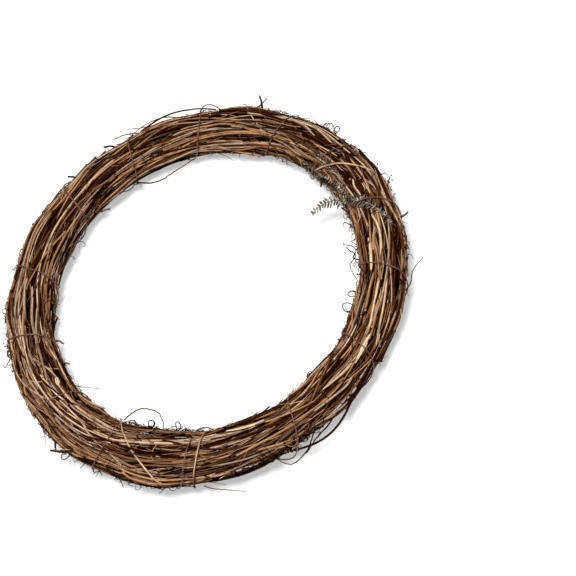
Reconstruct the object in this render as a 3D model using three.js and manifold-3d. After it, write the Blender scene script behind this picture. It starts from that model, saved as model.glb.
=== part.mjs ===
// Grapevine wreath lying flat, in millimetres: +Z up, resting on z = 0, the ring's axis on the Z axis.
// Cut vines run round the ring in one loose bundle. A thin wire is wound round the bundle and holds it.
// A few shoots are laid over the bundle, a dried sprig is caught under the wire, and tendrils and cut
// side shoots grow from the outer vines.
//
// A place on the bundle has three numbers: turn, the angle round the ring; out, the distance outwards
// from the ring's middle circle; and up, the height over it. Round the bundle, heading 0 points away
// from the ring's axis and a quarter turn points up.

import * as THREE from "three";
import { mergeVertices } from "three/addons/utils/BufferGeometryUtils.js";
import Module from "manifold-3d";

const wasm = await Module();
wasm.setup();
const { Manifold, Mesh: SolidMesh } = wasm;

const DEGREE = Math.PI / 180;
const FULL_TURN = 2 * Math.PI;

// Driving dimensions.
const WREATH_DIAMETER = 300;
const BUNDLE_WIDTH = 36;
const BUNDLE_HEIGHT = 31;
const RING_RADIUS = (WREATH_DIAMETER - BUNDLE_WIDTH) / 2;
const UNDERSIDE = 14;
const GAP = 0.32;

// How full the bundle is, as a share of that width and height.
const MEAN_FULLNESS = 0.96;
const FULLER_FRONT = 0.055;
const FULLEST = 235 * DEGREE;
const SLIMMER_SIDES = 0.03;
const SLIMMEST = 155 * DEGREE;

// Vines: each is drawn straight from one station to the next.
const STATIONS = 30;
const STEP = FULL_TURN / STATIONS;
const VINE_COUNT = 50;
const VINE_SIDES = 4;
const FEWEST_STEPS = 23;
const MOST_STEPS = 28;
const THINNEST_VINE = 1.1;
const THICKEST_VINE = 1.88;
const BUNDLE_TWIST = 0.9;
const TWIST_SWING = 0.75;
const FASTEST_TWIST = 215 * DEGREE;
const LEAST_WANDER = 0.15;
const MOST_WANDER = 0.8;
const DEPTH_WANDER = 0.2;

// Relaxing the bundle.
const PASSES = 1200;
const STIFFNESS = 0.12;
const ANCHOR = 0.012;

// Binding wire: where each of its turns passes over the top of the bundle, in degrees round the ring.
const WIRE_RADIUS = 0.55;
const WIRE_TURNS = [10, 31, 59, 84, 109, 137, 161, 187, 212, 238, 270, 298, 324, 347];
const WIRE_STEPS = 14;
const WIRE_STEEPNESS = 0.1;
const WIRE_PRESSED_FLAT = 0.3;

// Shoots under the wire: turn and heading in degrees where each starts and ends, and how far its
// middle bows away from the bundle. The loose ones are laid on; the others grow from a vine.
const LOOSE_SHOOTS = [
  { name: "wrapped_shoot_1", from: [245, 190], to: [237, -20], radius: 1.0, bow: 0 },
  { name: "wrapped_shoot_2", from: [16, 194], to: [-3, 40], radius: 1.0, bow: 0 },
  { name: "crossing_shoot", from: [209, 168], to: [230, 8], radius: 1.0, bow: 0 },
];
const GROWN_SHOOTS = [
  { from: [79, 40], to: [55, 36], radius: 0.95, bow: 4.5 },
  { from: [285, -4], to: [264, -12], radius: 1.2, bow: 6.5 },
];
const SHOOT_STEPS = 12;

// Dried sprig: its main frond, and two side fronds that leave it at a share of its length. Each runs
// over places with a turn and a heading in degrees and a height off the bundle.
const MAIN_FROND = [
  [339, 56, 0.4],
  [343, 74, 0.4],
  [346, 96, 0.5],
  [349, 120, 0.8],
  [352, 142, 2],
  [355, 157, 7],
  [356.6, 166, 14],
  [357.4, 174, 21],
];
const SIDE_FRONDS = [
  { at: 0.42, places: [[353, 134, 1.2], [357, 139, 1.6], [362, 144, 2.2], [366, 148, 3]] },
  { at: 0.1, places: [[338, 52, 1], [333, 40, 1.4]] },
];
const SPRIG_RADIUS = 0.6;
const LEAFLET_LENGTH = 5.2;
const LEAFLET_RADIUS = 0.5;
const LEAFLET_SPACING = 1.9;

// Tendrils: turn and heading of each root in degrees, its form and its size in millimetres. These are
// the ones that stand out; the rest are drawn at random.
const TENDRILS = [
  { turn: 212, heading: 162, form: "arch", size: 9 },
  { turn: 221, heading: 165, form: "curl", size: 3.4 },
  { turn: 226, heading: 160, form: "curl", size: 3 },
  { turn: 231, heading: 166, form: "curl", size: 3.6 },
  { turn: 235, heading: 158, form: "wave", size: 5 },
  { turn: 324, heading: 168, form: "wave", size: 6 },
  { turn: 320, heading: 10, form: "wave", size: 6 },
  { turn: 14, heading: 30, form: "curl", size: 3.2 },
  { turn: 350, heading: 12, form: "hook", size: 4 },
  { turn: 162, heading: 0, form: "hook", size: 5 },
  { turn: 179, heading: -5, form: "curl", size: 3.4 },
  { turn: 200, heading: 5, form: "curl", size: 2.8 },
];
const RANDOM_TENDRILS = 22;
const TENDRIL_RADIUS = 0.5;
const TENDRIL_STEPS = 13;
const TENDRIL_SPACING = 13;

// Cut side shoots: turn and heading of each in degrees, its length and its lean along the ring.
const SPURS = [
  { turn: 193, heading: 8, length: 7, lean: 1.2 },
  { turn: 88, heading: 22, length: 8, lean: 1.6 },
  { turn: 93, heading: 8, length: 6, lean: 1.8 },
  { turn: 41, heading: 26, length: 10, lean: 0.4 },
  { turn: 123, heading: 14, length: 8, lean: -1.8 },
  { turn: 173, heading: 175, length: 6, lean: 1.0 },
  { turn: 341, heading: 8, length: 5, lean: 0.3 },
  { turn: 266, heading: 20, length: 8, lean: 1.4 },
];
const RANDOM_SPURS = 12;
const SPUR_RADIUS = 0.95;

// What stands out of the bundle stays inside this box.
const FURTHEST = { left: -153, right: 153, front: -157, back: 155 };

const SEED = 7;

/** Park and Miller's generator: numbers from 0 to 1, the same on each run. */
function seededRandom(seed) {
  let state = seed;
  return () => {
    state = (state * 16807) % 2147483647;
    return state / 2147483647;
  };
}

const random = seededRandom(SEED);
const between = (low, high) => low + (high - low) * random();

/** An angle brought between minus and plus half a turn. */
const wrapped = (angle) => Math.atan2(Math.sin(angle), Math.cos(angle));

/** How full the bundle is at a turn: fullest at the front, and slimmer at its two sides. */
function fullness(turn) {
  const front = FULLER_FRONT * Math.cos(turn - FULLEST);
  const sides = SLIMMER_SIDES * Math.cos(2 * (turn - SLIMMEST));
  return MEAN_FULLNESS + front - sides;
}

/** Half the bundle's width and half its height at a turn. */
function halfSize(turn) {
  const scale = fullness(turn) / 2;
  return [BUNDLE_WIDTH * scale, BUNDLE_HEIGHT * scale];
}

/** A point in space from its place on the bundle, with the ring's middle circle at height zero. */
function place({ turn, out, up }) {
  const radius = RING_RADIUS + out;
  return new THREE.Vector3(radius * Math.cos(turn), radius * Math.sin(turn), up);
}

/** The place on the bundle of a point in space. */
function placeOf(point) {
  const out = Math.hypot(point.x, point.y) - RING_RADIUS;
  return { turn: Math.atan2(point.y, point.x), out, up: point.z };
}

// Solids.

/** A curve through points, whose steps fall exactly on those points. */
class SteppedCurve extends THREE.Curve {
  constructor(points) {
    super();
    this.points = points;
  }

  getPoint(t, target = new THREE.Vector3()) {
    const last = this.points.length - 1;
    const position = Math.min(Math.max(t, 0), 1) * last;
    const index = Math.min(Math.floor(position), last - 1);
    return target.lerpVectors(this.points[index], this.points[index + 1], position - index);
  }

  getPointAt(t, target) {
    return this.getPoint(t, target);
  }

  getTangentAt(t, target = new THREE.Vector3()) {
    const reach = 0.5 / (this.points.length - 1);
    const ahead = this.getPoint(t + reach);
    return target.copy(ahead).sub(this.getPoint(t - reach)).normalize();
  }
}

/** A regular polygon to sweep, with its first corner turned by a given angle. */
function polygon(radius, sides, turned) {
  const corners = [];
  for (let i = 0; i < sides; i++) {
    const angle = turned + (i * FULL_TURN) / sides;
    corners.push(new THREE.Vector2(radius * Math.cos(angle), radius * Math.sin(angle)));
  }
  return new THREE.Shape(corners);
}

/** A closed geometry as a solid that can be joined and cut. */
function solidOf(geometry) {
  const bare = geometry.index ? geometry.toNonIndexed() : geometry.clone();
  bare.deleteAttribute("normal");
  bare.deleteAttribute("uv");
  const merged = mergeVertices(bare, 1e-3);
  const vertProperties = merged.attributes.position.array;
  const triVerts = new Uint32Array(merged.index.array);
  return new Manifold(new SolidMesh({ numProp: 3, vertProperties, triVerts }));
}

/** A solid of a few sides swept along points. */
function sweep(points, radius, sides, turned = 0) {
  const geometry = new THREE.ExtrudeGeometry(polygon(radius, sides, turned), {
    steps: points.length - 1,
    bevelEnabled: false,
    extrudePath: new SteppedCurve(points),
  });
  return solidOf(geometry);
}

/** A thin pointed solid from one point to another. */
function spike(root, tip, radius) {
  const along = tip.clone().sub(root);
  const geometry = new THREE.ConeGeometry(radius, along.length(), 3);
  geometry.translate(0, along.length() / 2, 0);
  const turned = new THREE.Quaternion().setFromUnitVectors(new THREE.Vector3(0, 1, 0), along.normalize());
  geometry.applyQuaternion(turned);
  geometry.translate(root.x, root.y, root.z);
  return solidOf(geometry);
}

/** A solid back as a geometry for a mesh. */
function geometryOf(solid) {
  const { numProp, numVert, triVerts, vertProperties } = solid.getMesh();
  const positions = new Float32Array(numVert * 3);
  for (let i = 0; i < numVert; i++) {
    positions.set(vertProperties.subarray(i * numProp, i * numProp + 3), i * 3);
  }
  const geometry = new THREE.BufferGeometry();
  geometry.setAttribute("position", new THREE.BufferAttribute(positions, 3));
  geometry.setIndex(new THREE.BufferAttribute(triVerts, 1));
  return geometry;
}

// The bundle of vines.

/** Vines with the courses that they would take if none was in another's way. */
function drawVines() {
  const vines = [];
  for (let i = 0; i < VINE_COUNT; i++) {
    const steps = FEWEST_STEPS + Math.floor(between(0, MOST_STEPS - FEWEST_STEPS + 1));
    const first = Math.round(i * STATIONS * 0.618) % STATIONS;
    const radius = between(THINNEST_VINE, THICKEST_VINE);
    const depth = Math.sqrt((i + 0.5) / VINE_COUNT);
    const heading = i * FULL_TURN * 0.382;
    const phases = [between(0, FULL_TURN), between(0, FULL_TURN), between(0, FULL_TURN)];
    const wander = between(LEAST_WANDER, MOST_WANDER);
    const target = [];
    for (let k = 0; k <= steps; k++) {
      const turn = (first + k) * STEP;
      const twist = BUNDLE_TWIST * (turn + TWIST_SWING * Math.sin(turn - FASTEST_TWIST));
      const strayed = Math.sin(turn + phases[0]) + 0.5 * Math.sin(2 * turn + phases[1]);
      const round = heading + twist + wander * strayed;
      const [halfWidth, halfHeight] = halfSize(turn);
      const share = depth + DEPTH_WANDER * Math.sin(turn + phases[2]);
      target.push([
        share * (halfWidth - radius) * Math.cos(round),
        share * (halfHeight - radius) * Math.sin(round),
      ]);
    }
    vines.push({ first, steps, radius, target, course: target.map((p) => [...p]), grown: [] });
  }
  return vines;
}

/** For two vines, the steps that both take round the same stretch of the ring. */
function sharedSteps(a, b) {
  const shared = [];
  for (let i = 0; i < a.steps; i++) {
    const j = (((a.first + i - b.first) % STATIONS) + STATIONS) % STATIONS;
    if (j < b.steps) shared.push([i, j]);
  }
  return shared;
}

/** Moves two vines apart where they come closer than they may along one shared step. */
function separate(a, b, i, j, room) {
  const [a0, a1, b0, b1] = [a.course[i], a.course[i + 1], b.course[j], b.course[j + 1]];
  const startX = b0[0] - a0[0];
  const startY = b0[1] - a0[1];
  const alongX = b1[0] - a1[0] - startX;
  const alongY = b1[1] - a1[1] - startY;
  const travel = alongX * alongX + alongY * alongY;
  const meeting = travel > 1e-9 ? -(startX * alongX + startY * alongY) / travel : 0;
  const t = Math.min(1, Math.max(0, meeting));
  const x = startX + t * alongX;
  const y = startY + t * alongY;
  const distance = Math.hypot(x, y);
  if (distance >= room) return;
  const weight = 2 * (t * t + (1 - t) * (1 - t));
  const push = (room - distance) / (Math.max(distance, 1e-6) * weight);
  for (const [point, share] of [[a0, t - 1], [a1, -t], [b0, 1 - t], [b1, t]]) {
    point[0] += x * push * share;
    point[1] += y * push * share;
  }
}

/** Keeps a vine inside the bundle's outline, and above its flat underside. */
function confine(vine) {
  vine.course.forEach((point, k) => {
    const [halfWidth, halfHeight] = halfSize((vine.first + k) * STEP);
    const share = Math.hypot(point[0] / (halfWidth - vine.radius), point[1] / (halfHeight - vine.radius));
    if (share > 1) {
      point[0] /= share;
      point[1] /= share;
    }
    point[1] = Math.max(point[1], vine.radius - UNDERSIDE);
  });
}

/** Bends a vine less sharply, and draws it back to its own course. */
function straighten(vine, stiffness, anchor) {
  const before = vine.course.map((p) => [...p]);
  vine.course.forEach((point, k) => {
    const previous = before[Math.max(k - 1, 0)];
    const next = before[Math.min(k + 1, vine.steps)];
    for (const axis of [0, 1]) {
      const middle = (previous[axis] + next[axis]) / 2;
      point[axis] += stiffness * (middle - before[k][axis]);
      point[axis] += anchor * (vine.target[k][axis] - before[k][axis]);
    }
  });
}

/** Settles the vines beside and over each other, so that none runs through another. */
function settle(vines) {
  const pairs = [];
  vines.forEach((a, i) =>
    vines.slice(i + 1).forEach((b) => {
      pairs.push({ a, b, room: a.radius + b.radius + GAP, shared: sharedSteps(a, b) });
    }),
  );
  for (let pass = 0; pass < PASSES; pass++) {
    const eased = Math.max(0, 1 - (1.25 * pass) / PASSES);
    vines.forEach((vine) => straighten(vine, STIFFNESS * eased, ANCHOR * eased));
    pairs.forEach(({ a, b, room, shared }) => shared.forEach(([i, j]) => separate(a, b, i, j, room)));
    vines.forEach(confine);
  }
  return vines;
}

/** A vine's station at a turn, which need not be whole, or -1 where the vine doesn't reach. */
function stationAt(vine, turn) {
  const station = (((turn / STEP - vine.first) % STATIONS) + STATIONS) % STATIONS;
  return station <= vine.steps ? station : -1;
}

/** A vine's place at a station, or between two. */
function courseAt(vine, station) {
  const k = Math.min(Math.floor(station), vine.steps - 1);
  const t = station - k;
  const [p, q] = [vine.course[k], vine.course[k + 1]];
  return [p[0] + t * (q[0] - p[0]), p[1] + t * (q[1] - p[1])];
}

// What lies on the bundle.

const vines = settle(drawVines());
const laid = [];
const LAID_EVERY = 2;

/** Notes a line that lies on the bundle, so that what comes later stays clear of it. */
function noteLaid(points, radius) {
  for (let k = 1; k < points.length; k++) {
    const parts = Math.ceil(points[k].distanceTo(points[k - 1]) / LAID_EVERY);
    for (let part = 0; part < parts; part++) {
      const point = points[k - 1].clone().lerp(points[k], part / parts);
      laid.push({ ...placeOf(point), radius });
    }
  }
}

/** How far the vines, and what lies on them so far, reach in a direction at a turn. */
function reachAt(turn, heading) {
  const x = Math.cos(heading);
  const y = Math.sin(heading);
  let reach = 0;
  for (const vine of vines) {
    const station = stationAt(vine, turn);
    if (station < 0) continue;
    const [out, up] = courseAt(vine, station);
    reach = Math.max(reach, out * x + up * y + vine.radius);
  }
  for (const thing of laid) {
    if (Math.abs(wrapped(turn - thing.turn)) * RING_RADIUS > 0.6 * LAID_EVERY + thing.radius) continue;
    reach = Math.max(reach, thing.out * x + thing.up * y + thing.radius);
  }
  return reach;
}

/** How far from the bundle's middle a line of a radius has to lie to be clear of what is under it. */
function clearance(turn, heading, radius) {
  const slack = 1.2 * DEGREE;
  const reach = Math.max(...[-slack, 0, slack].map((shift) => reachAt(turn + shift, heading)));
  return reach + radius + GAP;
}

/** A place over the bundle: a turn, a heading and a height beyond the clearance. */
function overBundle(turn, heading, radius, height = 0) {
  const distance = clearance(turn, heading, radius) + height;
  return { turn, out: distance * Math.cos(heading), up: distance * Math.sin(heading) };
}

/** A point moved outwards until it is clear of what is under it, and kept over the surface. */
function standClear(point, radius) {
  const { turn, out, up } = placeOf(point);
  const heading = Math.atan2(up, out);
  const distance = Math.max(Math.hypot(out, up), clearance(turn, heading, radius));
  const height = Math.max(distance * Math.sin(heading), radius - UNDERSIDE);
  return place({ turn, out: distance * Math.cos(heading), up: height });
}

/** A taut line laid over the bundle along a route of turns and headings. */
function layOver(route, radius, bow = 0) {
  const last = route.length - 1;
  return route.map(([turn, heading], k) => {
    const before = route[Math.max(k - 1, 0)];
    const after = route[Math.min(k + 1, last)];
    let distance = 0;
    for (const [nextTurn, nextHeading] of [before, after]) {
      for (const share of [0, 0.5]) {
        const sampleTurn = turn + share * (nextTurn - turn);
        const sampleHeading = heading + share * (nextHeading - heading);
        distance = Math.max(distance, clearance(sampleTurn, sampleHeading, radius));
      }
    }
    const bend = Math.max(Math.abs(after[1] - heading), Math.abs(heading - before[1])) / 2;
    distance = distance / Math.cos(bend) + bow * Math.sin((Math.PI * k) / last);
    return place({ turn, out: distance * Math.cos(heading), up: distance * Math.sin(heading) });
  });
}

/** The wire's route: one turn round the bundle for each place where it crosses the top. */
function wireRoute() {
  const route = [];
  const turns = [...WIRE_TURNS, WIRE_TURNS[0] + 360];
  const half = WIRE_STEPS / 2;
  for (let k = 1 - half; k < WIRE_TURNS.length * WIRE_STEPS - half; k++) {
    const wound = Math.floor(k / WIRE_STEPS);
    const share = k / WIRE_STEPS - wound;
    const from = wound < 0 ? WIRE_TURNS.at(-1) - 360 : turns[wound];
    const to = wound < 0 ? turns[0] : turns[wound + 1];
    const lead = share - WIRE_STEEPNESS * Math.sin(FULL_TURN * share);
    route.push([(from + (to - from) * lead) * DEGREE, 90 * DEGREE + (FULL_TURN * k) / WIRE_STEPS]);
  }
  return route;
}

/** A shoot's route: evenly from its start to its end. */
function shootRoute({ from, to }) {
  const route = [];
  for (let k = 0; k <= SHOOT_STEPS; k++) {
    const t = k / SHOOT_STEPS;
    route.push([(from[0] + t * (to[0] - from[0])) * DEGREE, (from[1] + t * (to[1] - from[1])) * DEGREE]);
  }
  return route;
}

// The dried sprig.

/** A frond's stem through the given places, from a root if it has one. */
function frondStem(places, root) {
  const points = places.map(([turn, heading, height]) =>
    place(overBundle(turn * DEGREE, heading * DEGREE, SPRIG_RADIUS, height)),
  );
  const curve = new THREE.CatmullRomCurve3(root ? [root, ...points] : points);
  const steps = Math.round(curve.getLength() / (1.5 * LEAFLET_SPACING));
  const stem = curve.getSpacedPoints(steps).map((point) => standClear(point, SPRIG_RADIUS));
  return root ? [root, ...stem.slice(1)] : stem;
}

/** The stems of the sprig: the main frond and the side fronds that grow from it. */
function sprigStems() {
  const main = frondStem(MAIN_FROND);
  const rootAt = (share) => main[Math.round(share * (main.length - 1))];
  return [main, ...SIDE_FRONDS.map(({ at, places }) => frondStem(places, rootAt(at)))];
}

/** The leaflets of a frond: pointed, in two rows, and left out where they would touch the wire. */
function leafletsOf(stem) {
  const curve = new THREE.CatmullRomCurve3(stem);
  const count = Math.floor(curve.getLength() / LEAFLET_SPACING);
  const leaflets = [];
  for (let i = 1; i <= count; i++) {
    const t = i / count;
    const root = curve.getPointAt(t);
    const along = curve.getTangentAt(t);
    const { turn, out, up } = placeOf(root);
    const outwards = place({ turn, out: out * 1.1, up: up * 1.1 }).sub(root).normalize();
    const side = along.clone().cross(outwards).normalize();
    for (const hand of [-1, 1]) {
      const length = LEAFLET_LENGTH * (1 - 0.45 * t * t) * between(0.85, 1.1);
      const tip = root.clone();
      tip.addScaledVector(side, 0.72 * hand * length);
      tip.addScaledVector(along, (0.55 + 0.25 * t) * length);
      tip.addScaledVector(outwards, between(-0.1, 0.25) * length);
      const clearTip = standClear(tip, LEAFLET_RADIUS);
      const middle = root.clone().lerp(clearTip, 0.5);
      const lift = standClear(middle, LEAFLET_RADIUS).sub(middle);
      if (lift.length() > 1.2) continue;
      leaflets.push(spike(root, clearTip.addScaledVector(lift, 2), LEAFLET_RADIUS));
    }
  }
  return leaflets;
}

// Tendrils and cut side shoots.

/** Forms of tendrils: distances along, outwards and across at a share of the length, per unit size. */
const TENDRIL_FORMS = {
  curl: (t) => {
    const angle = 9.5 * t - Math.PI / 2;
    const radius = 1 - 0.6 * t;
    return [radius * Math.cos(angle), 1 + radius * Math.sin(angle), 0.7 * t];
  },
  wave: (t) => [2.4 * t, 1.3 * t + 0.35 * Math.sin(9 * t), 0.4 * Math.sin(7 * t)],
  hook: (t) => [1.6 * Math.sin(2.6 * t), 3 * t * (1 - 0.55 * t), 0.3 * t],
  arch: (t) => [2.9 * t, 1.6 * Math.sin(Math.PI * t) ** 0.8, 0],
};

/** The directions at a place on the bundle: along the ring, outwards and across. */
function directionsAt(turn, heading) {
  const radial = new THREE.Vector3(Math.cos(turn), Math.sin(turn), 0);
  const upwards = new THREE.Vector3(0, 0, 1);
  const along = upwards.clone().cross(radial);
  const outwards = radial.multiplyScalar(Math.cos(heading)).addScaledVector(upwards, Math.sin(heading));
  return { along, outwards, across: outwards.clone().cross(along) };
}

/** The vine that stands out furthest at a place, with its middle there. */
function outermostVine(turn, heading) {
  let best = { reach: 0 };
  for (const vine of vines) {
    const station = stationAt(vine, turn);
    if (station < 0.6 || station > vine.steps - 0.6) continue;
    const [out, up] = courseAt(vine, station);
    const reach = out * Math.cos(heading) + up * Math.sin(heading) + vine.radius;
    if (reach > best.reach) best = { vine, station, reach, root: place({ turn, out, up }) };
  }
  return best;
}

/** Where something can grow: near a place, and between two stations of the outermost vine. */
function rootNear(turn, heading) {
  const middle = (Math.floor(turn / STEP) + 0.5) * STEP;
  const shift = Math.min(Math.max(turn - middle, -0.25 * STEP), 0.25 * STEP);
  for (const nudge of [0, 0.1, -0.1, 0.2, -0.2]) {
    const at = middle + shift + nudge * STEP;
    const found = outermostVine(at, heading);
    if (found.vine && reachAt(at, heading) < found.reach + 0.05) return { ...found, turn: at, heading };
  }
  return null;
}

const inBox = ({ x, y }) =>
  x > FURTHEST.left && x < FURTHEST.right && y > FURTHEST.front && y < FURTHEST.back;

/** The points of a tendril from its vine's middle outwards, or null where there is no room for it. */
function tendrilPoints({ turn, heading, form, size, hand = 1 }) {
  const root = rootNear(turn * DEGREE, heading * DEGREE);
  if (!root) return null;
  const { along, outwards, across } = directionsAt(root.turn, root.heading);
  const base = place(overBundle(root.turn, root.heading, TENDRIL_RADIUS));
  const points = [root.root];
  for (let k = 0; k <= TENDRIL_STEPS; k++) {
    const [a, b, c] = TENDRIL_FORMS[form](k / TENDRIL_STEPS);
    const point = base.clone().addScaledVector(along, hand * a * size);
    point.addScaledVector(outwards, b * size).addScaledVector(across, c * size);
    points.push(k ? standClear(point, TENDRIL_RADIUS) : point);
  }
  return points.every(inBox) ? { vine: root.vine, points } : null;
}

/** The points of a cut side shoot, or null where there is no room for it. */
function spurPoints({ turn, heading, length, lean }) {
  const root = rootNear(turn * DEGREE, heading * DEGREE);
  if (!root) return null;
  const { along, outwards } = directionsAt(root.turn, root.heading);
  const neck = place(overBundle(root.turn, root.heading, SPUR_RADIUS, 0.4));
  const direction = outwards.addScaledVector(along, lean).normalize();
  const tip = neck.clone().addScaledVector(direction, length);
  const points = [root.root, neck, standClear(tip, SPUR_RADIUS)];
  return points.every(inBox) ? { vine: root.vine, points } : null;
}

/** Grows what there is room for, keeping each clear of the ones before it. */
function grow(wanted, pointsOf, radius, sides, taken) {
  for (const one of wanted) {
    const grown = pointsOf(one);
    if (!grown) continue;
    const outer = grown.points.slice(1);
    if (taken.some((other) => outer.some((point) => point.distanceTo(other) < 3.5))) continue;
    taken.push(...outer);
    grown.vine.grown.push(sweep(grown.points, radius, sides));
  }
}

/** Places drawn at random over the sides and the top of the bundle, in degrees. */
function drawnPlaces(count) {
  const places = [];
  for (let tries = 0; places.length < count && tries < 40 * count; tries++) {
    const turn = between(0, 360);
    const onSide = random() < 0.8;
    const side = random() < 0.5 ? between(-20, 40) : between(140, 200);
    const heading = onSide ? side : between(40, 140);
    const near = places.some((other) => {
      const gone = wrapped((turn - other.turn) * DEGREE) * RING_RADIUS;
      return Math.hypot(gone, 0.28 * (heading - other.heading)) < TENDRIL_SPACING;
    });
    if (!near) places.push({ turn, heading });
  }
  return places;
}

// Assembly.

const wreath = new THREE.Group();
wreath.name = "grapevine_wreath";

/** A dull natural finish of one colour. */
function finish(color, roughness = 0.85) {
  return new THREE.MeshStandardMaterial({ color, roughness, metalness: 0 });
}

const VINE_FINISHES = [0x9a6237, 0x7a4d2b, 0xb98a55, 0x6a5a45].map((color) => finish(color));
const SHOOT_FINISH = finish(0xc08a58);
const WIRE_FINISH = finish(0x6e4a40, 0.6);
const SPRIG_FINISH = finish(0x827a64, 0.95);

/** A named mesh of one material, added to the wreath. */
function addPiece(name, solid, material) {
  const mesh = new THREE.Mesh(geometryOf(solid), material);
  mesh.name = name;
  wreath.add(mesh);
}

const grownShoots = GROWN_SHOOTS.map((shoot) => {
  const points = layOver(shootRoute(shoot), shoot.radius, shoot.bow);
  const root = rootNear(shoot.from[0] * DEGREE, shoot.from[1] * DEGREE);
  return { ...shoot, vine: root.vine, points: [root.root, ...points] };
});
grownShoots.forEach(({ vine, points, radius }) => vine.grown.push(sweep(points, radius, VINE_SIDES)));
grownShoots.forEach(({ points, radius }) => noteLaid(points.slice(1), radius));
const looseShoots = LOOSE_SHOOTS.map((shoot) => {
  return { ...shoot, points: layOver(shootRoute(shoot), shoot.radius, shoot.bow) };
});
looseShoots.forEach(({ points, radius }) => noteLaid(points, radius));
const frondStems = sprigStems();
frondStems.forEach((stem) => noteLaid(stem, SPRIG_RADIUS));
const wirePoints = layOver(wireRoute(), WIRE_RADIUS);
noteLaid(wirePoints, WIRE_RADIUS);

const randomForms = ["curl", "wave", "hook"];
const moreTendrils = drawnPlaces(RANDOM_TENDRILS).map((at, i) => {
  return { ...at, form: randomForms[i % 3], size: between(2.4, 4.6), hand: i % 2 ? -1 : 1 };
});
const moreSpurs = drawnPlaces(RANDOM_SPURS).map((at, i) => {
  return { ...at, length: between(3, 7), lean: between(0.6, 2) * (i % 2 ? -1 : 1) };
});
const taken = [...frondStems, ...grownShoots.map(({ points }) => points)].flat();
grow(SPURS, spurPoints, SPUR_RADIUS, 4, taken);
grow(TENDRILS, tendrilPoints, TENDRIL_RADIUS, 3, taken);
grow(moreTendrils, tendrilPoints, TENDRIL_RADIUS, 3, taken);
grow(moreSpurs, spurPoints, SPUR_RADIUS, 4, taken);

vines.forEach((vine, i) => {
  const points = vine.course.map(([out, up], k) => place({ turn: (vine.first + k) * STEP, out, up }));
  const stem = sweep(points, vine.radius, VINE_SIDES, between(0, FULL_TURN));
  const name = "vine_" + String(i + 1).padStart(2, "0");
  addPiece(name, Manifold.union([stem, ...vine.grown]), VINE_FINISHES[i % VINE_FINISHES.length]);
});
looseShoots.forEach(({ name, points, radius }) => {
  addPiece(name, sweep(points, radius, VINE_SIDES), SHOOT_FINISH);
});

const sprig = frondStems.flatMap((stem) => [sweep(stem, SPRIG_RADIUS, 4), ...leafletsOf(stem)]);
addPiece("dried_sprig", Manifold.union(sprig), SPRIG_FINISH);

const lowest = Math.min(...wirePoints.map((point) => point.z)) - WIRE_RADIUS;
const surface = lowest + WIRE_PRESSED_FLAT;
const wire = sweep(wirePoints, WIRE_RADIUS, 3).trimByPlane([0, 0, 1], surface);
addPiece("binding_wire", wire, WIRE_FINISH);
wreath.position.z = -surface;

export default wreath;
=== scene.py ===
"""Looks of a grapevine wreath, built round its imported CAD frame.

Lengths are in metres and +Z is up. The wreath lies on z = 0, with the ring's axis on the Z axis. A place
on the bundle is a turn round the ring in radians, a distance out from the ring's middle circle and a
distance up from it. A heading goes round the bundle: 0 points away from the ring's axis, and 90 degrees up.
"""
import logging
import math
from collections.abc import Callable, Iterable
from dataclasses import dataclass, field
from enum import Enum

import bmesh
import bpy
import numpy as np
from mathutils import Matrix, Vector


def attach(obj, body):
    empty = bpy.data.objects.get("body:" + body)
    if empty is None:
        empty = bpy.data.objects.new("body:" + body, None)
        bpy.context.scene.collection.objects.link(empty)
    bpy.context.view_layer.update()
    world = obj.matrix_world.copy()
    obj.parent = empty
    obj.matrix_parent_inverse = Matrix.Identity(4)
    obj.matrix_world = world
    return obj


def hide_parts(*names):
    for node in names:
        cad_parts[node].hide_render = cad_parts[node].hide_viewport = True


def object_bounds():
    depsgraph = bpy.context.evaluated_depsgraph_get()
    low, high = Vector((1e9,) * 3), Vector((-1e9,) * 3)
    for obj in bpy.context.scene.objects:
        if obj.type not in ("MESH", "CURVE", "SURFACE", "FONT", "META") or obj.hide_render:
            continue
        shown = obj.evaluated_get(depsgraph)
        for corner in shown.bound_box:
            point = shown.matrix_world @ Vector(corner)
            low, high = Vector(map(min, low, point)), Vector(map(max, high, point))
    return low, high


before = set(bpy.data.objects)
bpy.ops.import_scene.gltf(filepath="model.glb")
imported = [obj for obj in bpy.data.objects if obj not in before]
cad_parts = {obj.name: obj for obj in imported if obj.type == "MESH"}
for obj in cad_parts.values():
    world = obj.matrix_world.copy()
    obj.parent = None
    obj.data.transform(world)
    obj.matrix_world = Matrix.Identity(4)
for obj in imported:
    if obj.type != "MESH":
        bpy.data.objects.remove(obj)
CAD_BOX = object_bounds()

LOG = logging.getLogger("wreath")
MM = 0.001
DEGREE = math.pi / 180
FULL_TURN = 2 * math.pi
TINY = 1e-9

Colour = tuple[float, float, float]
Span = tuple[float, float]
Row = tuple[float, ...]
StemRow = tuple["Tone", float, float, tuple[Row, ...]]
TangleRow = tuple[Span, Span, int, float, float]

BESIDE_CAD = 3.5 * MM
ABOVE_CAD = 0.9 * MM
LOWEST = np.array(CAD_BOX[0]) - (BESIDE_CAD, BESIDE_CAD, 0)
HIGHEST = np.array(CAD_BOX[1]) + (BESIDE_CAD, BESIDE_CAD, ABOVE_CAD)


def paint(red: int, green: int, blue: int) -> Colour:
    """A colour given in screen values from 0 to 255, as linear light."""

    def linear(value: int) -> float:
        """One screen value as linear light."""
        share = value / 255
        return share / 12.92 if share <= 0.04045 else ((share + 0.055) / 1.055) ** 2.4

    return linear(red), linear(green), linear(blue)


def wrapped(angle: np.ndarray) -> np.ndarray:
    """Angles brought between minus and plus half a turn."""
    return np.arctan2(np.sin(angle), np.cos(angle))


def pointing(angle: float) -> np.ndarray:
    """The flat direction at an angle."""
    return np.array([math.cos(angle), math.sin(angle)])


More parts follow.
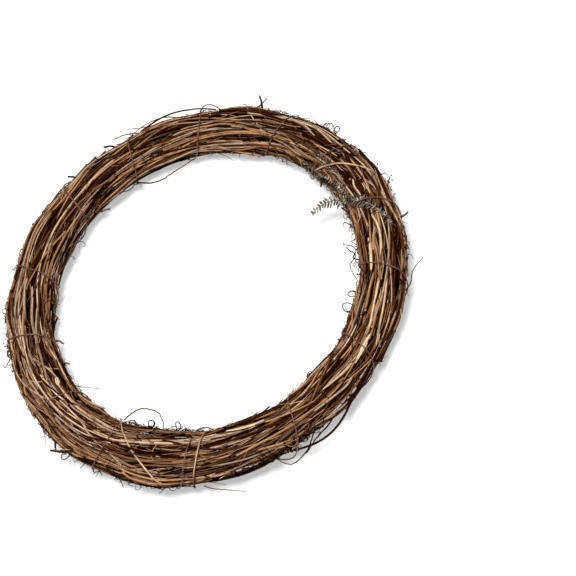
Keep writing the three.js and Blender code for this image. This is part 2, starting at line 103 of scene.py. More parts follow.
def finer(values: np.ndarray, parts: int) -> np.ndarray:
    """Values along a smooth line, with each step of it cut in equal parts.

    Args:
        values: One row for each point of the line.
        parts: How many parts each step is cut in.

    Returns:
        The rows of the finer line, which passes through every given row.
    """
    ends = np.vstack((2 * values[0] - values[1], values, 2 * values[-1] - values[-2]))
    a, b, c, d = (side[:, None] for side in (ends[:-3], ends[1:-2], ends[2:-1], ends[3:]))
    t = (np.arange(parts) / parts)[None, :, None]
    line = b + 0.5 * t * (c - a + t * (2 * a - 5 * b + 4 * c - d + t * (3 * (b - c) + d - a)))
    return np.vstack((line.reshape(-1, values.shape[1]), values[-1:]))


def gone(points: np.ndarray) -> np.ndarray:
    """How far along a line each of its points lies."""
    steps = np.linalg.norm(np.diff(points, axis=0), axis=1)
    return np.concatenate(([0.0], np.cumsum(steps)))


def read_at(marks: np.ndarray, places: np.ndarray, rows: np.ndarray) -> np.ndarray:
    """Rows given at some places, read at the marks between them."""
    return np.column_stack([np.interp(marks, places, axis) for axis in rows.T])


def evenly(points: np.ndarray, spacing: float) -> np.ndarray:
    """Points at even steps along a smooth line through the given points."""
    line = finer(points, 6)
    lengths = gone(line)
    return read_at(np.linspace(0, lengths[-1], max(3, round(lengths[-1] / spacing) + 1)), lengths, line)


def smoothed(rows: np.ndarray) -> np.ndarray:
    """Rows drawn towards their neighbours, apart from the first and the last."""
    return np.vstack((rows[:1], (rows[:-2] + 2 * rows[1:-1] + rows[2:]) / 4, rows[-1:]))


def lifted(points: np.ndarray, least: float) -> np.ndarray:
    """Points raised to a least height."""
    return np.column_stack((points[:, :2], np.maximum(points[:, 2], least)))


def bulge(lengths: np.ndarray, middle: float, width: float) -> np.ndarray:
    """A smooth rise from 0 to 1 and back, about a middle."""
    return np.exp(-(((lengths - middle) / width) ** 2))


def placed(name: str, data: bpy.types.ID) -> bpy.types.Object:
    """A new object of the scene."""
    made = bpy.data.objects.new(name, data)
    bpy.context.scene.collection.objects.link(made)
    return made


def either_way(random: np.random.Generator, share: float = 0.5) -> int:
    """1 for a share of the draws, and -1 for the others."""
    return 1 if random.random() < share else -1


@dataclass(frozen=True)
class Ring:
    """The circle that the bundle of stems follows."""

    radius: float = 132 * MM
    height: float = 17.17 * MM

    def points(self, places: np.ndarray) -> np.ndarray:
        """The points in space of places on the bundle."""
        turn, out, up = places.T
        reach = self.radius + out
        return np.column_stack((reach * np.cos(turn), reach * np.sin(turn), self.height + up))

    def places(self, points: np.ndarray) -> np.ndarray:
        """The places on the bundle of a line's points."""
        x, y, z = points.T
        turn = np.unwrap(np.arctan2(y, x))
        return np.column_stack((turn, np.hypot(x, y) - self.radius, z - self.height))

    def directions(self, turn: float, heading: float) -> np.ndarray:
        """The directions at a place: along the ring, outwards from the bundle, and across it."""
        x, y = pointing(turn)
        out, up = pointing(heading)
        along = np.array([-y, x, 0])
        outwards = out * np.array([x, y, 0]) + np.array([0, 0, up])
        return np.array([along, outwards, np.cross(outwards, along)])


@dataclass(frozen=True)
class WireTurns:
    """Where the wire crosses over the bundle, as turns in degrees."""

    turns: Row = (10, 31, 59, 84, 109, 137, 161, 187, 212, 238, 270, 298, 324, 347)
    steepness: float = 1.5

    def nearness(self, turns: np.ndarray, width: float) -> np.ndarray:
        """1 under the wire and close to it, falling to 0 at a width in degrees from it."""
        apart = abs((turns[:, None] - np.array(self.turns)[None] + 180) % 360 - 180).min(axis=1)
        return np.clip(self.steepness * (1 - apart / width), 0, 1)


RING = Ring()
WIRE_TURNS = WireTurns()


@dataclass
class Line:
    """A line through space with a thickness and what the bark finishes read at each point.

    Attributes:
        points: The points of the line.
        radii: Half its thickness at each point.
        scars: How much of a swollen node each point is, from 0 to 1.
        facing: The direction in which a flat line faces at each point.
    """

    points: np.ndarray
    radii: np.ndarray
    scars: np.ndarray | None = None
    facing: np.ndarray | None = None

    def frames(self) -> tuple[np.ndarray, np.ndarray]:
        """Two directions across the line at each point, carried along without a twist."""
        ahead = np.gradient(self.points, axis=0)
        ahead /= np.linalg.norm(ahead, axis=1)[:, None]
        if self.facing is not None:
            first = self.facing - (self.facing * ahead).sum(1)[:, None] * ahead
            first /= np.linalg.norm(first, axis=1)[:, None]
            return first, np.cross(ahead, first)
        carried = Vector((0, 0, 1)) if abs(ahead[0][2]) < 0.9 else Vector((1, 0, 0))
        rows = []
        for tangent in map(Vector, ahead.tolist()):
            carried = (carried - carried.dot(tangent) * tangent).normalized()
            rows.append(carried)
        first = np.array(rows)
        return first, np.cross(ahead, first)


class StemMesh:
    """A mesh that stems, tendrils and strips of bark are added to, each rolled up from a flat grid.

    Its UV map runs along a stem and round it. Its attribute "grain_and_shade" holds the distance along
    the stem, the stem's own tone and its painted shade, darker further into the bundle and on the flanks,
    and "scar" marks the swollen nodes.
    """

    CUT = 1

    def __init__(self, painted_shade: Callable[[np.ndarray, np.ndarray], np.ndarray] | None = None) -> None:
        """Starts an empty mesh with its layers.

        Args:
            painted_shade: Gives the painted shade of points of given facings in the bundle, from 0 to 1.
        """
        self.painted_shade = painted_shade
        self.mesh = bmesh.new()
        self.uv = self.mesh.loops.layers.uv.new("UVMap")
        self.grain_and_shade = self.mesh.verts.layers.float_vector.new("grain_and_shade")
        self.scar = self.mesh.verts.layers.float.new("scar")

    def roll(self, line: Line, sides: int, tone: float, relief: np.ndarray | None = None,
             thickness: float = 1.0, bend: float = 0.0) -> None:
        """Adds a closed stem along a line.

        Args:
            line: The line that the stem follows.
            sides: How many faces go round the stem.
            tone: The stem's own tone, from 0 to 1.
            relief: What is added to the radius at each point and side, as a share of it.
            thickness: How thick a flat strip is, as a share of its width.
            bend: How far the edges of a strip curl, as a share of its width.
        """
        rings = len(line.points)
        margin = line.radii[:, None]
        line.points = np.clip(line.points, LOWEST + margin, HIGHEST - margin)
        first, second = line.frames()
        angle = -FULL_TURN * np.arange(sides + 1) / sides
        radii = np.repeat(line.radii[:, None], sides + 1, axis=1)
        if relief is not None:
            radii = radii * (1 + np.column_stack((relief, relief[:, :1])))
        wide = radii * np.sin(angle)
        high = radii * np.cos(angle) * thickness - bend * np.sin(angle) ** 2 * radii
        points = line.points[:, None] + high[..., None] * first[:, None] + wide[..., None] * second[:, None]
        made = bmesh.ops.create_grid(self.mesh, x_segments=rings - 1, y_segments=sides, calc_uvs=True)
        corners = made["verts"]
        along = gone(line.points).tolist() * (sides + 1)
        scars = np.zeros(rings) if line.scars is None else line.scars
        marks = scars.tolist() * (sides + 1)
        places = points.transpose(1, 0, 2).reshape(-1, 3)
        facings = (points - line.points[:, None]).transpose(1, 0, 2).reshape(-1, 3)
        # painted shade for each corner, none when no shade is given
        shade_levels = self.painted_shade(places, facings).tolist() if self.painted_shade else [0.0] * len(places)
        for corner, point, far, painted_shade_level, mark in zip(corners, places.tolist(), along, shade_levels, marks):
            corner.co = point
            corner[self.grain_and_shade] = (far, tone, painted_shade_level)
            corner[self.scar] = mark
            for face in corner.link_faces:
                face.smooth = True
        ends = [corners[row * rings + end] for row in range(1, sides) for end in (0, rings - 1)]
        seam = {corners[sides * rings + k]: corners[k] for k in range(rings)}
        bmesh.ops.weld_verts(self.mesh, targetmap=seam)
        rims = {edge for corner in ends for edge in corner.link_edges if edge.is_boundary}
        self.close(list(rims))

    def close(self, rims: list[bmesh.types.BMEdge]) -> None:
        """Closes a stem's open ends with flat cut faces."""
        for face in bmesh.ops.holes_fill(self.mesh, edges=rims, sides=0)["faces"]:
            face.smooth = False
            face.material_index = self.CUT
            for k, loop in enumerate(face.loops):
                loop[self.uv].uv = 0.5 + 0.5 * pointing(FULL_TURN * k / len(face.loops))

    def piece(self, name: str, finishes: list[bpy.types.Material], slot: str,
              replaced: list[str] | None = None) -> None:
        """Makes the mesh a piece of the wreath.

        Args:
            name: The piece's name.
            finishes: Its materials, bark first and cut wood second.
            slot: Not used.
            replaced: The CAD nodes that it stands for.
        """
        bmesh.ops.recalc_face_normals(self.mesh, faces=self.mesh.faces[:])
        data = bpy.data.meshes.new(name)
        self.mesh.to_mesh(data)
        self.mesh.free()
        for finish in finishes:
            data.materials.append(finish)
        piece = placed(name, data)
        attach(piece, "root")
        if replaced:
            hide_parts(*replaced)
        LOG.info("%s: %d triangles", name, sum(len(face.vertices) - 2 for face in data.polygons))


@dataclass
class CadNode:
    """A CAD node's mesh with its doubled corners merged, read for the lines of its tubes.

    Attributes:
        doubled: Corners nearer to each other than this are merged.
        exact: Lengths that differ by less than this are the same.
        level: The least cosine between faces that are parts of one flat end.
    """

    name: str
    stations: int = 30
    vine_radii: Span = (1.05 * MM, 1.93 * MM)
    grown_radii: Span = (0.45 * MM, 1.35 * MM)
    thinnest_shoot: float = 0.9 * MM
    doubled: float = 0.002 * MM
    exact: float = 0.02 * MM
    level: float = 0.999

    def __post_init__(self) -> None:
        """Copies the node's mesh and merges the copy's corners."""
        self.mesh = bmesh.new()
        self.mesh.from_mesh(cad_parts[self.name].data)
        bmesh.ops.remove_doubles(self.mesh, verts=self.mesh.verts[:], dist=self.doubled)
        self.mesh.verts.index_update()
        self.mesh.faces.index_update()
        self.corners = np.array([corner.co for corner in self.mesh.verts])

    def sections(self, station: int) -> list[tuple[np.ndarray, float]]:
        """The square sections at a station of the ring, each as its middle and its radius."""
        turn = np.arctan2(self.corners[:, 1], self.corners[:, 0])
        near = np.flatnonzero(abs(wrapped(turn - station * FULL_TURN / self.stations)) < DEGREE)
        i, j = np.triu_indices(len(near), 1)
        p, q = self.corners[near[i]], self.corners[near[j]]
        middles, radii = (p + q) / 2, np.linalg.norm(p - q, axis=1) / 2
        likely = np.flatnonzero((radii > self.vine_radii[0]) & (radii < self.vine_radii[1]))
        found = []
        for count, a in enumerate(likely):
            for b in likely[count + 1:]:
                apart = np.linalg.norm(middles[a] - middles[b])
                if apart < self.exact and abs(radii[a] - radii[b]) < self.exact:
                    found.append((middles[a], radii[a]))
        return found

    def vine(self) -> tuple[int, np.ndarray, float]:
        """The vine that the node is.

        Returns:
            Its first station, its middle at each station from there on, and its radius.
        """
        sections = {k: self.sections(k) for k in range(self.stations)}
        rounded = [round(radius, 5) for found in sections.values() for _, radius in found]
        radius = max(set(rounded), key=rounded.count)
        middles = {}
        for station, found in sections.items():
            fitting = [middle for middle, other in found if abs(other - radius) < 2 * self.exact]
            if fitting:
                middles[station] = fitting[0]
        first = next(k for k in middles if (k - 1) % self.stations not in middles)
        order = [(first + k) % self.stations for k in range(len(middles))]
        return first, np.array([middles[k] for k in order]), radius

    def end_faces(self) -> list[tuple[float, list[bmesh.types.BMVert]]]:
        """The flat ends of what grows from the vine, each as its radius and its corners."""
        ends = []
        for face in self.mesh.faces:
            short, middle, long = sorted(edge.calc_length() for edge in face.edges)
            if long - short < self.exact:
                ends.append((short / math.sqrt(3), list(face.verts)))
            if middle - short < self.exact and abs(long - short * math.sqrt(2)) < self.exact:
                shared = max(face.edges, key=lambda edge: edge.calc_length())
                for other in shared.link_faces:
                    lengths = sorted(edge.calc_length() for edge in other.edges)
                    flat = other.normal.dot(face.normal) > self.level
                    if other.index > face.index and flat and abs(lengths[1] - short) < self.exact:
                        ends.append((short / math.sqrt(2), list({*face.verts, *other.verts})))
        return ends

    def grown(self, own: float) -> list[tuple[int, float, np.ndarray]]:
        """What grows from the vine: tendrils of three sides, and shoots of four.

        Args:
            own: The vine's own radius.

        Returns:
            For each its sides, its radius and its middles, from the vine's surface to its tip.
        """
        found = []
        for radius, corners in self.end_faces():
            low, high = self.grown_radii
            if not low < radius < high or abs(radius - own) < self.exact:
                continue
            if len(corners) > 3 and radius < self.thinnest_shoot:
                continue
            sides, ring, seen, middles = len(corners), corners, set(corners), []
            while len(ring) == sides:
                middles.append(np.mean([corner.co for corner in ring], axis=0))
                beside = {edge.other_vert(corner) for corner in ring for edge in corner.link_edges}
                ring = list(beside - seen)
                seen |= beside
            if len(middles) > 1:
                found.append((sides, radius, np.array(middles[::-1])))
        return found

    def chain(self, joined: float = 2.6 * MM) -> np.ndarray:
        """The middles of a lone tube's sections, in order from one end.

        Args:
            joined: Corners nearer to each other than this belong to one section.

        Returns:
            One row for each section.
        """
        left = list(self.corners)
        middles = []
        while left:
            group = [left.pop()]
            for corner in group:
                near = [k for k, other in enumerate(left) if np.linalg.norm(other - corner) < joined]
                group += [left.pop(k) for k in reversed(near)]
            middles.append(np.mean(group, axis=0))
        middles = np.array(middles)
        gaps = np.linalg.norm(middles[:, None] - middles[None], axis=2)
        order = [int(np.sort(gaps, axis=1)[:, 2].argmax())]
        while len(order) < len(middles):
            row = gaps[order[-1]].copy()
            row[order] = np.inf
            order.append(int(row.argmin()))
        return middles[order]


@dataclass
class Bundle:
    """The stems of the wreath, settled beside each other at fine stations of the ring.

    The CAD vines keep their courses, give or take a little, and thinner fill stems find room between them.
    A pair of numbers that tells both apart has the vines' first.

    Attributes:
        fill_depths: Where fill stems run between the middle, 0, and the outline, 1: one in three in the
            first span, and the others in the second.
        strayed: How far a fill stem wanders round the bundle, in radians.
        sinking: How far the fill stems stay under the vines' outline.
        ease: How readily a stem gives way.
        anchor: How firmly a stem is drawn back to its own course.
        stiffness: How firmly a stem is straightened.
        lit: How far under the surface a point is still free of painted shade.
        darkening: How much further down the painted shade is darkest.
        flanks: How much darker the painted shade makes a stem's flanks than its crown.
        skyward: How much the side that the painted shade leaves lit leans towards the sky.
    """

    stations: int = 120
    fill_count: int = 124
    fill_radii: Span = (0.45 * MM, 0.95 * MM)
    fill_steps: tuple[int, int] = (34, 106)
    fill_depths: tuple[Span, Span] = ((0.3, 0.75), (0.75, 1.0))
    turned: float = 2.4
    strayed: Span = (0.2, 1.0)
    half_width: float = 18 * MM
    half_height: float = 15.5 * MM
    underside: float = 14 * MM
    twist: float = 0.9
    twist_swing: float = 0.75
    fastest_twist: float = 215 * DEGREE
    passes: int = 150
    headings: int = 36
    sinking: float = 2.2 * MM
    ease: Span = (0.12, 1.0)
    anchor: Span = (0.12, 0.01)
    stiffness: Span = (0.1, 0.35)
    lit: float = 0.3 * MM
    darkening: float = 3.4 * MM
    flanks: float = 1.05
    skyward: float = 1.2
    seed: int = 11
    laid: list[np.ndarray] = field(default_factory=list)

    def __post_init__(self) -> None:
        """Reads the CAD vines, draws the fill stems and settles them."""
        self.random = np.random.default_rng(self.seed)
        self.step = FULL_TURN / self.stations
        self.vines = sorted(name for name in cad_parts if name.startswith("vine_"))
        count = len(self.vines) + self.fill_count
        self.radius = np.zeros(count)
        self.first = np.zeros(count, int)
        self.count = np.zeros(count, int)
        self.centre = np.zeros((count, self.stations, 2))
        self.present = np.zeros((count, self.stations), bool)
        self.grown: dict[str, list[tuple[int, float, np.ndarray]]] = {}
        for index, name in enumerate(self.vines):
            self.read_vine(index, name)
        for index in range(len(self.vines), count):
            self.draw_fill(index)
        self.target = self.centre.copy()
        self.outline = self.support(np.arange(len(self.vines)))
        self.settle()
        self.skin = self.support(np.arange(count))

    def read_vine(self, index: int, name: str) -> None:
        """Takes a CAD vine's course, with each of its steps cut in parts."""
        node = CadNode(name)
        first, middles, self.radius[index] = node.vine()
        parts = self.stations // node.stations
        self.lay(index, first * parts, finer(RING.places(middles)[:, 1:], parts))
        self.grown[name] = node.grown(self.radius[index])

    def lay(self, index: int, first: int, course: np.ndarray) -> None:
        """Sets a stem's course from its first station on."""
        stations = (first + np.arange(len(course))) % self.stations
        self.first[index] = first
        self.count[index] = len(course)
        self.centre[index, stations] = course
        self.present[index, stations] = True

    def places(self, index: int) -> np.ndarray:
        """A stem's places on the bundle, from its first station to its last."""
        stations = self.first[index] + np.arange(self.count[index])
        return np.column_stack((stations * self.step, self.centre[index, stations % self.stations]))

    def draw_fill(self, index: int) -> None:
        """Draws a fill stem, which takes part in the bundle's twist."""
        number = index - len(self.vines)
        first = int(self.random.integers(self.stations))
        turn = (first + np.arange(self.random.integers(*self.fill_steps))) * self.step
        self.radius[index] = self.random.uniform(*self.fill_radii)
        share = self.random.uniform(*self.fill_depths[1 if number % 3 else 0])
        phases = self.random.uniform(0, FULL_TURN, 3)
        strayed = np.sin(turn + phases[0]) + 0.5 * np.sin(2 * turn + phases[1])
        twist = self.twist * (turn + self.twist_swing * np.sin(turn - self.fastest_twist))
        heading = number * self.turned + twist + self.random.uniform(*self.strayed) * strayed
        share = share + 0.15 * np.sin(2 * turn + phases[2])
        out = share * self.half_width * np.cos(heading)
        up = share * self.half_height * np.sin(heading)
        self.lay(index, first, np.column_stack((out, up)))

    def directions(self) -> np.ndarray:
        """The headings round the bundle at which its outline is kept."""
        heading = FULL_TURN * np.arange(self.headings) / self.headings
        return np.column_stack((np.cos(heading), np.sin(heading)))

    def support(self, stems: np.ndarray) -> np.ndarray:
        """How far some stems reach at each station in each direction."""
        reach = self.centre[stems] @ self.directions().T + self.radius[stems][:, None, None]
        return np.where(self.present[stems][..., None], reach, 0).max(axis=0)

    def close_pairs(self, room: float) -> tuple[np.ndarray, np.ndarray, np.ndarray]:
        """The pairs of stems that come near each other, with the station where they do."""
        found = []
        for station in range(self.stations):
            here = np.flatnonzero(self.present[:, station])
            points = self.centre[here, station]
            apart = np.linalg.norm(points[:, None] - points[None], axis=2)
            least = self.radius[here][:, None] + self.radius[here][None] + room
            i, j = np.nonzero(np.triu(apart < least, 1))
            found.append(np.column_stack((here[i], here[j], np.full(len(i), station))))
        return tuple(np.vstack(found).T)

    def settle(self) -> None:
        """Moves the stems apart, with the fill stems giving way to the vines."""
        vines = len(self.vines)
        is_vine = np.arange(len(self.radius)) < vines
        ease = np.where(is_vine, *self.ease)
        anchor = np.where(is_vine, *self.anchor)[:, None, None]
        stiffness = np.where(is_vine, *self.stiffness)[:, None, None]
        for number in range(self.passes):
            if number % 10 == 0:
                a, b, s = self.close_pairs(2 * MM)
            easing = max(0.0, 1 - 1.2 * number / self.passes)
            ahead, behind = np.roll(self.centre, -1, axis=1), np.roll(self.centre, 1, axis=1)
            inner = self.present & np.roll(self.present, 1, axis=1) & np.roll(self.present, -1, axis=1)
            bend = np.where(inner[..., None], (ahead + behind) / 2 - self.centre, 0)
            self.centre += bend * stiffness * max(easing, 0.15)
            self.centre += (self.target - self.centre) * anchor * easing
            apart = self.centre[b, s] - self.centre[a, s]
            distance = np.maximum(np.linalg.norm(apart, axis=1), 1e-6)
            missing = np.maximum(self.radius[a] + self.radius[b] + 0.05 * MM - distance, 0)
            push = apart * (missing / distance / (ease[a] + ease[b]))[:, None]
            np.add.at(self.centre, (a, s), -push * ease[a][:, None])
            np.add.at(self.centre, (b, s), push * ease[b][:, None])
            self.confine(slice(vines, None))
        LOG.info("bundle: %d stems, deepest overlap %.2f mm", len(self.radius), missing.max() / MM)

    def confine(self, stems: slice) -> None:
        """Keeps some stems inside the vines' outline, and above the bundle's flat underside."""
        directions = self.directions()
        radius = self.radius[stems][:, None]
        excess = self.centre[stems] @ directions.T + radius[..., None] + self.sinking - self.outline[None]
        worst = excess.argmax(axis=2)
        over = np.maximum(np.take_along_axis(excess, worst[..., None], axis=2), 0)
        self.centre[stems] -= over * directions[worst]
        self.centre[stems, :, 1] = np.maximum(self.centre[stems, :, 1], radius + 1 * MM - self.underside)

    def painted_shade(self, points: np.ndarray, facings: np.ndarray) -> np.ndarray:
        """Painted shade at points on stems, from 0 to 1, darker further under the bundle's surface.

        Args:
            points: The points in space.
            facings: The directions away from their stems' middles.

        Returns:
            Their depths, where a stem's flanks count as deeper than its crown.
        """
        turn, out, up = RING.places(points).T
        station = (turn / self.step) % self.stations
        here = station.astype(int) % self.stations
        share = (station - station.astype(int))[:, None]
        outline = (1 - share) * self.skin[here] + share * self.skin[(here + 1) % self.stations]
        under = (outline - np.column_stack((out, up)) @ self.directions().T).min(axis=1)
        outwards = np.column_stack((out * np.cos(turn), out * np.sin(turn), up))
        open_side = outwards / (np.linalg.norm(outwards, axis=1)[:, None] + TINY) + (0, 0, self.skyward)
        level = (open_side * facings).sum(1)
        level /= np.linalg.norm(open_side, axis=1) * np.linalg.norm(facings, axis=1) + TINY
        # painted shade on the flanks: a stem stays lit where it faces the open side and the sky
        flank = self.flanks * (1 - np.clip(level, 0, 1) ** 2)
        return np.clip(np.clip((under - self.lit) / self.darkening, 0, 1) + flank, 0, 1)

    def reach(self, turn: float, heading: float, with_laid: bool) -> float:
        """How far the stems, and what lies on them so far, reach in a direction."""
        station = (turn / self.step) % self.stations
        here = int(station) % self.stations
        after = (here + 1) % self.stations
        share = station - int(station)
        both = self.present[:, here] & self.present[:, after]
        middle = (1 - share) * self.centre[both, here] + share * self.centre[both, after]
        reach = float((middle @ pointing(heading) + self.radius[both]).max())
        if with_laid and self.laid:
            rows = np.vstack(self.laid)
            near = rows[abs(wrapped(rows[:, 0] - turn)) * RING.radius < rows[:, 3] + 0.8 * MM]
            if len(near):
                reach = max(reach, float((near[:, 1:3] @ pointing(heading) + near[:, 3]).max()))
        return reach

    def over(self, turn: float, heading: float, radius: float, height: float,
             with_laid: bool) -> np.ndarray:
        """A point over the bundle, clear of what is under it by a radius and a height."""
        reach = max(self.reach(turn + shift * DEGREE, heading, with_laid) for shift in (-1, 0, 1))
        out, up = (reach + radius + height) * pointing(heading)
        return RING.points(np.array([[turn, out, up]]))[0]

    def course(self, stops: Iterable[Row], radius: float, with_laid: bool = False) -> np.ndarray:
        """Points over the bundle for a line that lies on it.

        Args:
            stops: For each a turn and a heading in degrees, and how far the line stands off.
            radius: The line's radius.
            with_laid: Whether it keeps clear of what lies on the stems so far.

        Returns:
            One row for each stop.
        """
        return np.array([self.over(turn * DEGREE, heading * DEGREE, radius, height, with_laid)
                         for turn, heading, height in stops])

    def outermost(self, turn: float, heading: float) -> np.ndarray:
        """The middle and the surface of the stem that stands out furthest at a place."""
        station = round(turn / self.step) % self.stations
        reach = self.centre[:, station] @ pointing(heading) + self.radius
        best = int(np.where(self.present[:, station], reach, -1).argmax())
        root = RING.points(np.array([[station * self.step, *self.centre[best, station]]]))[0]
        return root, root + RING.directions(turn, heading)[1] * float(self.radius[best])

    def note(self, points: np.ndarray, radius: float) -> None:
        """Notes a line that lies on the bundle, so that what comes later stays clear of it."""
        places = RING.places(evenly(points, 1.5 * MM))
        self.laid.append(np.column_stack((places, np.full(len(places), radius))))


class Value:
    """A number on a socket, on which Python's operators add Math nodes."""

    def __init__(self, tree: "Finish", socket: bpy.types.NodeSocket) -> None:
        """Wraps a socket of a finish's node tree."""
        self.tree = tree
        self.socket = socket

    def math(self, operation: str, *values: "Value | float") -> "Value":
        """A Math node's result for the given values."""
        return self.tree.value("ShaderNodeMath", {"operation": operation}, dict(enumerate(values)))

    def __add__(self, other: "Value | float") -> "Value":
        """The sum of two values."""
        return self.math("ADD", self, other)

    def __radd__(self, other: float) -> "Value":
        """The sum of a number and this value."""
        return self.math("ADD", other, self)

    def __sub__(self, other: "Value | float") -> "Value":
        """This value less another."""
        return self.math("SUBTRACT", self, other)

    def __rsub__(self, other: float) -> "Value":
        """A number less this value."""
        return self.math("SUBTRACT", other, self)

    def __mul__(self, other: "Value | float") -> "Value":
        """The product of two values."""
        return self.math("MULTIPLY", self, other)

    def __rmul__(self, other: float) -> "Value":
        """The product of a number and this value."""
        return self.math("MULTIPLY", other, self)

    def cosine(self) -> "Value":
        """The cosine of this value."""
        return self.math("COSINE", self)

    def sine(self) -> "Value":
        """The sine of this value."""
        return self.math("SINE", self)

    def between(self, low: float, high: float) -> "Value":
        """0 below low, 1 above high, and smooth from one to the other."""
        settings = {"interpolation_type": "SMOOTHSTEP"}
        inputs = {"Value": self, "From Min": low, "From Max": high}
        return self.tree.value("ShaderNodeMapRange", settings, inputs)


class Finish:
    """A material's node tree, with one Principled shader."""

    NOISE_ROUGHNESS = 0.55

    def __init__(self, name: str, **constants: float) -> None:
        """Starts a material.

        Args:
            name: The material's name.
            **constants: Numbers for the shader's own sockets, with _ for a space in a name.
        """
        self.material = bpy.data.materials.new(name)
        self.material.use_nodes = True
        self.nodes = self.material.node_tree.nodes
        self.links = self.material.node_tree.links
        self.shader = self.nodes["Principled BSDF"]
        for socket, number in constants.items():
            self.shader.inputs[socket.replace("_", " ")].default_value = number

    def node(self, kind: str, settings: dict | None = None, inputs: dict | None = None) -> bpy.types.Node:
        """A new node.

        Args:
            kind: The node's type.
            settings: Its settings, and "stops" for a ramp's places and colours.
            inputs: Values or links for its sockets, by name or number.

        Returns:
            The node.
        """
        made = self.nodes.new(kind)
        for key, setting in (settings or {}).items():
            if key == "stops":
                self.set_stops(made.color_ramp, setting)
            else:
                setattr(made, key, setting)
        for key, given in (inputs or {}).items():
            self.feed(made.inputs[key], given)
        return made

    @staticmethod
    def set_stops(ramp: bpy.types.ColorRamp, stops: list[tuple[float, Colour]]) -> None:
        """Gives a ramp its places and colours.

        Args:
            ramp: The ramp.
            stops: Each place with its colour, in order.
        """
        while len(ramp.elements) < len(stops):
            ramp.elements.new(1.0)
        for element, (place, colour) in zip(ramp.elements, stops):
            element.position = place
            element.color = (*colour, 1)

    def feed(self, socket: bpy.types.NodeSocket, given: object) -> None:
        """Feeds a socket.

        Args:
            socket: The socket.
            given: A value or another socket to link it to, or a number or colour of its own.
        """
        if isinstance(given, Value):
            self.links.new(given.socket, socket)
        elif isinstance(given, bpy.types.NodeSocket):
            self.links.new(given, socket)
        elif isinstance(given, tuple) and socket.type == "RGBA":
            socket.default_value = (*given, 1)
        else:
            socket.default_value = given

    def value(self, kind: str, settings: dict | None = None, inputs: dict | None = None,
              output: int | str = 0) -> Value:
        """A new node's output as a value."""
        return Value(self, self.node(kind, settings, inputs).outputs[output])

    def uv(self) -> bpy.types.NodeSocket:
        """The piece's own UV map."""
        return self.node("ShaderNodeUVMap", {"uv_map": "UVMap"}).outputs["UV"]

    def around(self) -> Value:
        """The angle round a stem."""
        return self.value("ShaderNodeSeparateXYZ", None, {"Vector": self.uv()}, "Y") * FULL_TURN

    def place(self) -> bpy.types.NodeSocket:
        """The place in space."""
        return self.node("ShaderNodeTexCoord").outputs["Object"]

    def noise(self, vector: bpy.types.NodeSocket, scale: float = 1.0, detail: float = 3.0) -> Value:
        """Noise from 0 to 1 over a vector."""
        inputs = {"Vector": vector, "Scale": scale, "Detail": detail, "Roughness": self.NOISE_ROUGHNESS}
        return self.value("ShaderNodeTexNoise", {"normalize": True}, inputs)

    def ramp(self, level: Value, places: Row, colours: tuple[Colour, ...]) -> bpy.types.NodeSocket:
        """The colour for a level between 0 and 1, on a scale with a colour at each of some places."""
        stops = {"stops": list(zip(places, colours))}
        return self.node("ShaderNodeValToRGB", stops, {"Fac": level}).outputs["Color"]

    def mix(self, factor: Value | float, first: object, second: object,
            blend: str = "MIX") -> bpy.types.NodeSocket:
        """Two colours mixed.

        Args:
            factor: The second colour's share.
            first: The first colour.
            second: The second colour.
            blend: How they are mixed.

        Returns:
            The mixed colour's socket.
        """
        made = self.node("ShaderNodeMix", {"data_type": "RGBA", "blend_type": blend}, {"Factor": factor})
        sockets = [socket for socket in made.inputs if socket.type == "RGBA"]
        for socket, colour in zip(sockets, (first, second)):
            self.feed(socket, colour)
        return next(socket for socket in made.outputs if socket.type == "RGBA")

    def finish(self, colour: object, roughness: Value | float, height: Value | None = None,
               relief: float = 0.0) -> bpy.types.Material:
        """Feeds the shader.

        Args:
            colour: The base colour.
            roughness: The roughness.
            height: The height of the surface's fine relief.
            relief: How deep that relief is, in metres.

        Returns:
            The finished material.
        """
        self.feed(self.shader.inputs["Base Color"], colour)
        self.feed(self.shader.inputs["Roughness"], roughness)
        if height is not None:
            bump = self.node("ShaderNodeBump", None, {"Distance": relief, "Height": height})
            self.feed(self.shader.inputs["Normal"], bump.outputs["Normal"])
        return self.material


